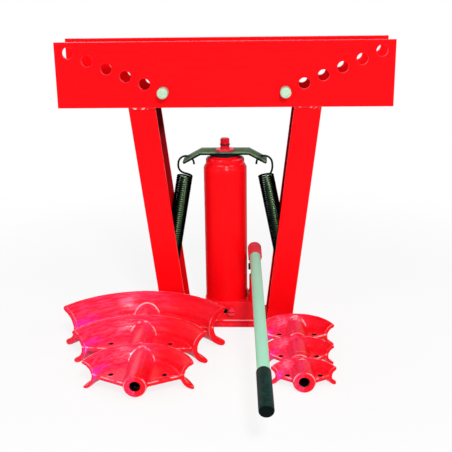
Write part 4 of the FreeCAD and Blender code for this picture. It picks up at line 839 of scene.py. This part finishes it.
def chamfered_bar(radius, low, high, chamfer, edge):
    """The outline of a round bar with chamfered ends, whose corners are just broken."""
    return rounded([(0, low), (radius - chamfer, low, edge), (radius, low + chamfer, edge + 0.1),
                    (radius, high - chamfer, edge + 0.1), (radius - chamfer, high, edge), (0, high)])


pin_zinc = bright_bar("pin_zinc", (0.53, 0.74, 0.53), 0.24, 0.25)
pin = chamfered_bar(PIN_RADIUS, PIN_BACK, PIN_FRONT, 1.5, 0.3)
waist_bow = (WAIST_END ** 2 + WAIST_DEPTH ** 2) / (2 * WAIST_DEPTH)
waist = [(ROLLER_RADIUS - WAIST_DEPTH + waist_bow - math.sqrt(waist_bow ** 2 - y ** 2), y)
         for y in (WAIST_END * (i / 12 - 1) for i in range(25))]
roller = [(ROLLER_BORE, -ROLLER_END), (ROLLER_RADIUS - ROLLER_EDGE, -ROLLER_END),
          (ROLLER_RADIUS, ROLLER_EDGE - ROLLER_END), *waist, (ROLLER_RADIUS, ROLLER_END - ROLLER_EDGE),
          (ROLLER_RADIUS - ROLLER_EDGE, ROLLER_END), (ROLLER_BORE, ROLLER_END)]
pin_out, pin_level = HOLE_OUT - (HOLES - 1) * HOLE_STEP, HOLE_TOP - (HOLES - 1) * HOLE_DROP
for side, word in ((-1, "left"), (1, "right")):
    here = Matrix.Translation((side * pin_out * MM, 0, pin_level * MM)) @ UPRIGHT
    fit(mesh_piece(f"{word}_pressure_pin", lathe(pin, here, 64), pin_zinc), f"{word}_pin", "bright_steel",
        f"{word}_pin")
    fit(mesh_piece(f"{word}_waisted_roller", lathe(roller, here, 96), honed), f"{word}_roller",
        "bright_steel", f"{word}_roller")

# Pump: a turned barrel with a hexagon screwed into the casting's lug, its plunger with a flat eye, and a
# link with its bracket that carries the socket's rear pin. All painted but the plunger and pins.
pump_paint = cast_red("pump_enamel", 0.0, 0.08)
for name, width, piece_name in (("pump_barrel", 0.8, "barrel"), ("link_bracket", 0.6, "link_fork"),
                                ("pump_link", 0.8, "link_bar")):
    fit(softened(name, width, pump_paint, piece_name), "frame", "frame_paint", name)
fit(softened("pump_plunger", 0.5, honed, "plunger_rod"), "plunger", "bright_steel", "pump_plunger")
keep(oiled_wire("blacked_steel"), "link_pin", "fulcrum_pin", "plunger_pin")


# Handle socket: a short tube on two ears, cast in one and painted; the handle's bar slides into it.
# It rocks on the fulcrum pin and lifts the plunger by the pin between its ears.
def dull_red(name):
    """Thin matt enamel that has dried streaky down a casting: fine level ribs of a file and faded patches."""
    material, shader, where = finish(name, {"Specular IOR Level": 0.06})
    level = axis(where, "Z") * 3600
    ribs = level.math("SINE", level) * 0.5 + 0.5
    patches = noise(where, 75, 4)
    colour = mix(fade(patches, 0.35, 0.70), (0.78, 0.030, 0.050), (0.66, 0.062, 0.084))
    colour = mix(ribs * fade(noise(where, 200, 3), 0.35, 0.6) * 0.45, colour, (0.40, 0.030, 0.042))
    coat_with(shader, base_color=colour, roughness=0.55 + patches * 0.15,
              normal=relief(ribs * 0.4 + noise(where, 300, 3), 0.08, 0.5))
    return material


socket_paint = dull_red("socket_enamel")
fit(softened("handle_socket", 0.9, socket_paint, "lever_socket"), "socket", "frame_paint", "handle_socket")

# Handle: a long zinc-coated bar of pale green-grey, with a moulded black-green grip pushed over its end.
# It lies in the socket's tube, above the fulcrum pin, and points down to the front.
PUMP_RIGHT, PUMP_FORWARD, PUMP_TWIST = 57.2, 30, math.radians(2.2)
ARM, ARM_SWING, ARM_LEVEL = 26, math.radians(20), 125
BAR_OVER_FULCRUM, DROOP = 30, math.radians(9)
BAR_RADIUS, BAR_START, BAR_END, BAR_CHAMFER = 10.3, 13.3, 509.3, 1.2
GRIP_RADIUS, GRIP_START, GRIP_END = 11.8, 417.3, 511.8


def place_of_handle():
    """The handle's own place: its Z runs out along the bar, from over the fulcrum pin."""
    back = ARM * (1 + math.cos(ARM_SWING)) / 2 - BAR_OVER_FULCRUM * math.sin(DROOP)
    level = ARM_LEVEL + ARM * math.sin(ARM_SWING) + BAR_OVER_FULCRUM * math.cos(DROOP)
    x = JACK_X + PUMP_RIGHT - back * math.sin(PUMP_TWIST)
    y = back * math.cos(PUMP_TWIST) - PUMP_FORWARD
    return (Matrix.Translation((x * MM, y * MM, level * MM)) @ Matrix.Rotation(PUMP_TWIST, 4, "Z")
            @ Matrix.Rotation(math.pi / 2 + DROOP, 4, "X"))


HANDLE = place_of_handle()
bar_zinc = bright_bar("bar_zinc", (0.370, 0.750, 0.540), 0.05, 0.04)
bar = lathe(chamfered_bar(BAR_RADIUS, BAR_START, BAR_END, BAR_CHAMFER, 0.4), HANDLE, 96)
fit(mesh_piece("lever_bar", bar, bar_zinc), "handle", "bright_steel", "handle_bar")


def grip_end(where):
    """Near 1 on the grip's end face, where light from above hardly reaches."""
    way = HANDLE.to_3x3() @ Vector((0, 0, 1))
    along = where.node("ShaderNodeVectorMath", {"operation": "DOT_PRODUCT"}, {0: where, 1: tuple(way)},
                       out="Value")
    reach = way.dot(HANDLE @ Vector((0, 0, GRIP_END * MM)))
    return fade(along, reach - 1.6 * MM, reach - 0.7 * MM)


# The grip's end face is darkened by painted shade.
grip_skin = black_rubber("grip_skin", (0.0042, 0.0185, 0.0150), 0.36, grip_end)
grip = rounded([(BAR_RADIUS, GRIP_START), (11.0, GRIP_START, 0.5), (GRIP_RADIUS, GRIP_START + 1.3, 1.0),
                (GRIP_RADIUS, GRIP_END, 3.4), (0, GRIP_END), (0, BAR_END),
                (BAR_RADIUS - BAR_CHAMFER, BAR_END), (BAR_RADIUS, BAR_END - BAR_CHAMFER)])
fit(mesh_piece("lever_grip", lathe(grip, HANDLE, 96), grip_skin), "handle", "grip_rubber", "handle_grip")

# Release valve: a turned steel screw with a slotted head, in the front of the casting.
# It is painted over with the jack, and its paint is paler than the casting's.
valve_paint = cast_red("valve_enamel", 1.0, 0.5)
fit(softened("release_valve", 0.5, valve_paint, "release_screw"), "valve", "spring_black", "release_valve")

# Bending dies: cast iron quadrants, one for each pipe size. A gutter with thick lips runs round the bend,
# a socketed hub stands behind it and a thin web with two holes ties them. Brushed with red enamel.
# Each has its rim's place to the right and front, the rim's radius, half the bend in degrees, the pipe's
# radius, the gutter's wall, the length from the rim to the hub's end, and the hub's radius.
DIES = {
    "two_inch": (-155, 48, 190, 54.5, 30.15, 12, 78, 20),
    "one_and_half_inch": (-153.5, 128, 140, 62.5, 24.15, 9.6, 98, 20),
    "one_and_quarter_inch": (-143.5, 228, 101, 74, 21.2, 6.5, 115, 20),
    "one_inch": (135, 77, 75, 73, 16.85, 6.7, 84, 19.5),
    "three_quarter_inch": (135, 163, 70, 67, 13.45, 6.5, 82, 19.5),
    "half_inch": (140, 247, 63, 65, 10.65, 7.4, 64, 19.5),
}
BIG_RIM, BIG_GRAIN, SMALL_GRAIN = 90, 1.6, 1.1


def die_masks(out, front, rim, angle, pipe, wall, length, hub):
    """For one die: gloss and painted glints, the way the brush went, painted shade in bores, painted sheens.
    """
    outer, lip = pipe + wall, rim - 0.4 * wall
    centre = rim + 0.18 * pipe
    crest = math.sqrt(outer ** 2 - (centre - lip) ** 2)
    axis_level, end = max(hub, crest), rim - length
    back = centre - outer + wall / 2
    meet = min(hub + 5, 0.85 * outer)
    hole_back = end + 0.4 * (back - end)
    hole_out = 0.6 * math.sqrt(back ** 2 - hole_back ** 2)
    half_turn = math.radians(angle)

    def placed(where):
        """Metres from the bend's centre: right, back and up."""
        moved = where.node("ShaderNodeMapping", {}, {"Vector": where, "Location": (
            -out * MM, (front + rim) * MM, -axis_level * MM)})
        return [axis(moved, name) for name in "XYZ"]

    def round_bend(x, y):
        """The angle from the die's middle and the distance from the bend's axis."""
        return x.math("ARCTAN2", x, y), hypotenuse(x, y)

    def near(value, level, width):
        return line_at(value, level, 0.4 * width, width)

    def over(value, low, high):
        return fade(value, low * MM, high * MM)

    def inner_wall(reach, z):
        """Near 1 outside the gutter's hollow: on the wall that faces the hub, and on hub and web."""
        return over(hypotenuse(reach - centre * MM, z), pipe + 0.35 * wall, pipe + 0.65 * wall)

    def gloss_and_glint(where):
        """Painted glints, pale lines where the coat is also glossier: on the lips, in the arch of hub and
        gutter, and round the rims.
        """
        x, y, z = placed(where)
        turn, reach = round_bend(x, y)
        lip_line = near(hypotenuse(reach - lip * MM, z - crest * MM), 0, 1.3) * 0.6
        off_hub = hypotenuse(x, z)
        arch = near(off_hub, meet, 1.5) * over(y, back - 14, back - 4) * inner_wall(reach, z)
        hub_rim = near(off_hub, hub - 1, 1.3) * (1 - over(y, end + 1, end + 3)) * 0.7
        tip_x, tip_y = back * math.sin(half_turn) - 0.8 * hub, back * math.cos(half_turn) - end - 4
        beside = (y - (end + 4) * MM) * tip_x - (abs(x) - 0.8 * hub * MM) * tip_y
        off_edge = beside * (1 / math.hypot(tip_x, tip_y))
        web_rim = near(off_edge, 0.8, 1.5) * near(z, 4, 2.0) * over(abs(x), hub, hub + 3)
        short = (half_turn - abs(turn)) * reach
        end_rim = over(short, 0.5, 0.9) * (1 - over(short, 1.4, 2.2)) * 0.6
        return largest(lip_line, arch, hub_rim, web_rim, end_rim) * fade(noise(where, 70, 3), 0.40, 0.60)

    def brushed(where):
        """Coordinates that are drawn out round the bend, so that strokes run along it."""
        x, y, z = placed(where)
        turn, reach = round_bend(x, y)
        return x.node("ShaderNodeCombineXYZ", {}, {"X": turn * 1.1, "Y": reach * 42, "Z": z * 42})

    def painted_sheens(where):
        """Shares of painted reflection: pink towards the left, magenta at the left end,
        and a white sheen by the hub.
        """
        x, y, z = placed(where)
        turn, reach = round_bend(x, y)
        turn = turn * (1 / half_turn)
        facing = inner_wall(reach, z)
        pink_sheen = (1 - fade(turn, -0.05, 0.45) * 0.85) * (0.25 + 0.75 * facing)
        end_on = (1 - fade(turn, -0.93, -0.50)) * near(z, 2, 0.5 * crest) * facing
        violet_sheen = end_on * over(reach, back - wall / 2 - 6, back - wall / 2 - 1)
        aside = abs(x + (hub + 7 + 0.05 * rim) * MM)
        sheen = (1 - over(aside, 0, 10 + 0.10 * rim)) * over(z, 0.15 * crest, 0.45 * crest)
        return pink_sheen, violet_sheen, sheen * facing * (1 - over(z, 0.85 * crest, crest))

    def dark(where):
        """Near 1 in the hub's bore, behind its rim, and in the web's two holes: unpainted iron, made
        near black as painted shade.
        """
        x, y, z = placed(where)
        bore = 1 - over(hypotenuse(x, z), 9.2, 9.9)
        bore = bore * over(y, end + 1.2, end + 4) * (1 - over(y, end + 44, end + 47))
        hole = 1 - over(hypotenuse(abs(x) - hole_out * MM, y - hole_back * MM), 3.9, 4.5)
        return largest(bore, hole * (1 - over(abs(z), 3.2, 4.1)))

    return {"gloss_and_glint": gloss_and_glint, "brushed": brushed, "dark": dark, "painted_sheens": painted_sheens}


for name, sizes in DIES.items():
    paint = cast_red(f"{name}_enamel", 0.03, 0.09, **die_masks(*sizes))
    cast = as_cast(merged_copy(f"die_{name}"), BIG_GRAIN if sizes[2] > BIG_RIM else SMALL_GRAIN, 6)
    fit(mesh_piece(f"{name}_die", cast, paint, 60), f"die_{name}", "die_paint", f"die_{name}")

# Stage: a white floor that keeps the machine's soft shadow, an even white surround and four soft lamps.
# Neither floor nor surround lights the machine as strongly as they look.
FLOOR_LEVEL, SURROUND = -0.4, 0.34


def seen_rays(tree):
    """1 for what the camera sees, by itself or in gloss and glass, and 0 for all other light."""
    path = tree.nodes.new("ShaderNodeLightPath")
    kinds = ("Camera", "Glossy", "Transmission")
    return largest(*[Shade(tree, path.outputs[f"Is {kind} Ray"]) for kind in kinds])


floor_mesh = bpy.data.meshes.new("floor")
floor_corners = [(x, y, FLOOR_LEVEL * MM) for x, y in rectangle(-6, 6, -6, 12)]
floor_mesh.from_pydata(floor_corners, [], [(0, 1, 2, 3)])
add_object("floor", floor_mesh)
pale_floor = bpy.data.materials.new("pale_floor")
pale_floor.use_nodes = True
floor_mesh.materials.append(pale_floor)
tree = pale_floor.node_tree
tree.nodes.remove(tree.nodes["Principled BSDF"])
rays = seen_rays(tree)
ground = Shade(tree, tree.nodes.new("ShaderNodeTexCoord").outputs["Object"])
away = ground.node("ShaderNodeMapping", {}, {"Vector": ground, "Location": (0, 0.15, 0)})
away = away.node("ShaderNodeVectorMath", {"operation": "LENGTH"}, {0: away}, out="Value")
matt = rays.node("ShaderNodeBsdfDiffuse", {}, {"Color": (0.9, 0.9, 0.9, 1)})
glow = rays.node("ShaderNodeEmission", {}, {"Color": (1, 1, 1, 1), "Strength": 1.0})
glow_share = rays * (0.84 + 0.16 * fade(away, 0.50, 1.3))
both = rays.node("ShaderNodeMixShader", {}, {0: glow_share, 1: matt, 2: glow})
tree.links.new(both.socket, tree.nodes["Material Output"].inputs["Surface"])

world = bpy.data.worlds.new("surround")
bpy.context.scene.world = world
world.use_nodes = True
tree = world.node_tree
surround = tree.nodes["Background"]
surround.inputs["Color"].default_value = (1, 1, 1, 1)
strength = SURROUND + seen_rays(tree) * (1 - SURROUND)
tree.links.new(strength.socket, surround.inputs["Strength"])


def softbox(name, place, aim, size, power):
    """A square lamp of a size in metres, at a place and turned to its aim, of a power in watts."""
    lamp = bpy.data.lights.new(name, "AREA")
    lamp.shape, lamp.size, lamp.energy = "SQUARE", size, power
    thing = add_object(name, lamp)
    thing.location = place
    thing.rotation_euler = (Vector(aim) - Vector(place)).to_track_quat("-Z", "Y").to_euler()


softbox("key_box", (0.40, -2.0, 1.74), (0, 0, 0.30), 0.40, 36)
softbox("side_box", (1.9, -1.5, 1.5), (0, -0.1, 0.15), 0.9, 10)
softbox("fill_box", (-1.6, -1.9, 1.3), (0, -0.1, 0.15), 1.2, 12)
softbox("rear_box", (-1.3, 1.9, 1.6), (0, 0, 0.25), 2.0, 14)

# Camera: the lens, place and turn that the photograph was taken with, as fitted to the machine's corners.
# It looks down on the machine from the front, a little from the right, and is rolled by under a degree.
LENS, EYE_PLACE = 64.0, (0.0614, -1.5297, 0.6822)
YAW, PITCH_DOWN, ROLL = math.radians(2.371), math.radians(17.49), 0.013284
eye = bpy.data.cameras.new("camera")
eye.lens, eye.sensor_width, eye.clip_start = LENS, 36.0, 0.05
camera = add_object("camera", eye)
flat_right = Vector((math.cos(YAW), math.sin(YAW), 0))
flat_ahead = Vector((-math.sin(YAW), math.cos(YAW), 0))
ahead = flat_ahead * math.cos(PITCH_DOWN) - Vector((0, 0, math.sin(PITCH_DOWN)))
flat_up = flat_right.cross(ahead)
right = flat_right * math.cos(ROLL) - flat_up * math.sin(ROLL)
up = flat_right * math.sin(ROLL) + flat_up * math.cos(ROLL)
camera.matrix_world = Matrix.Translation(EYE_PLACE) @ Matrix((right, up, -ahead)).transposed().to_4x4()
bpy.context.scene.camera = camera
bpy.context.scene.view_settings.view_transform = "Standard"
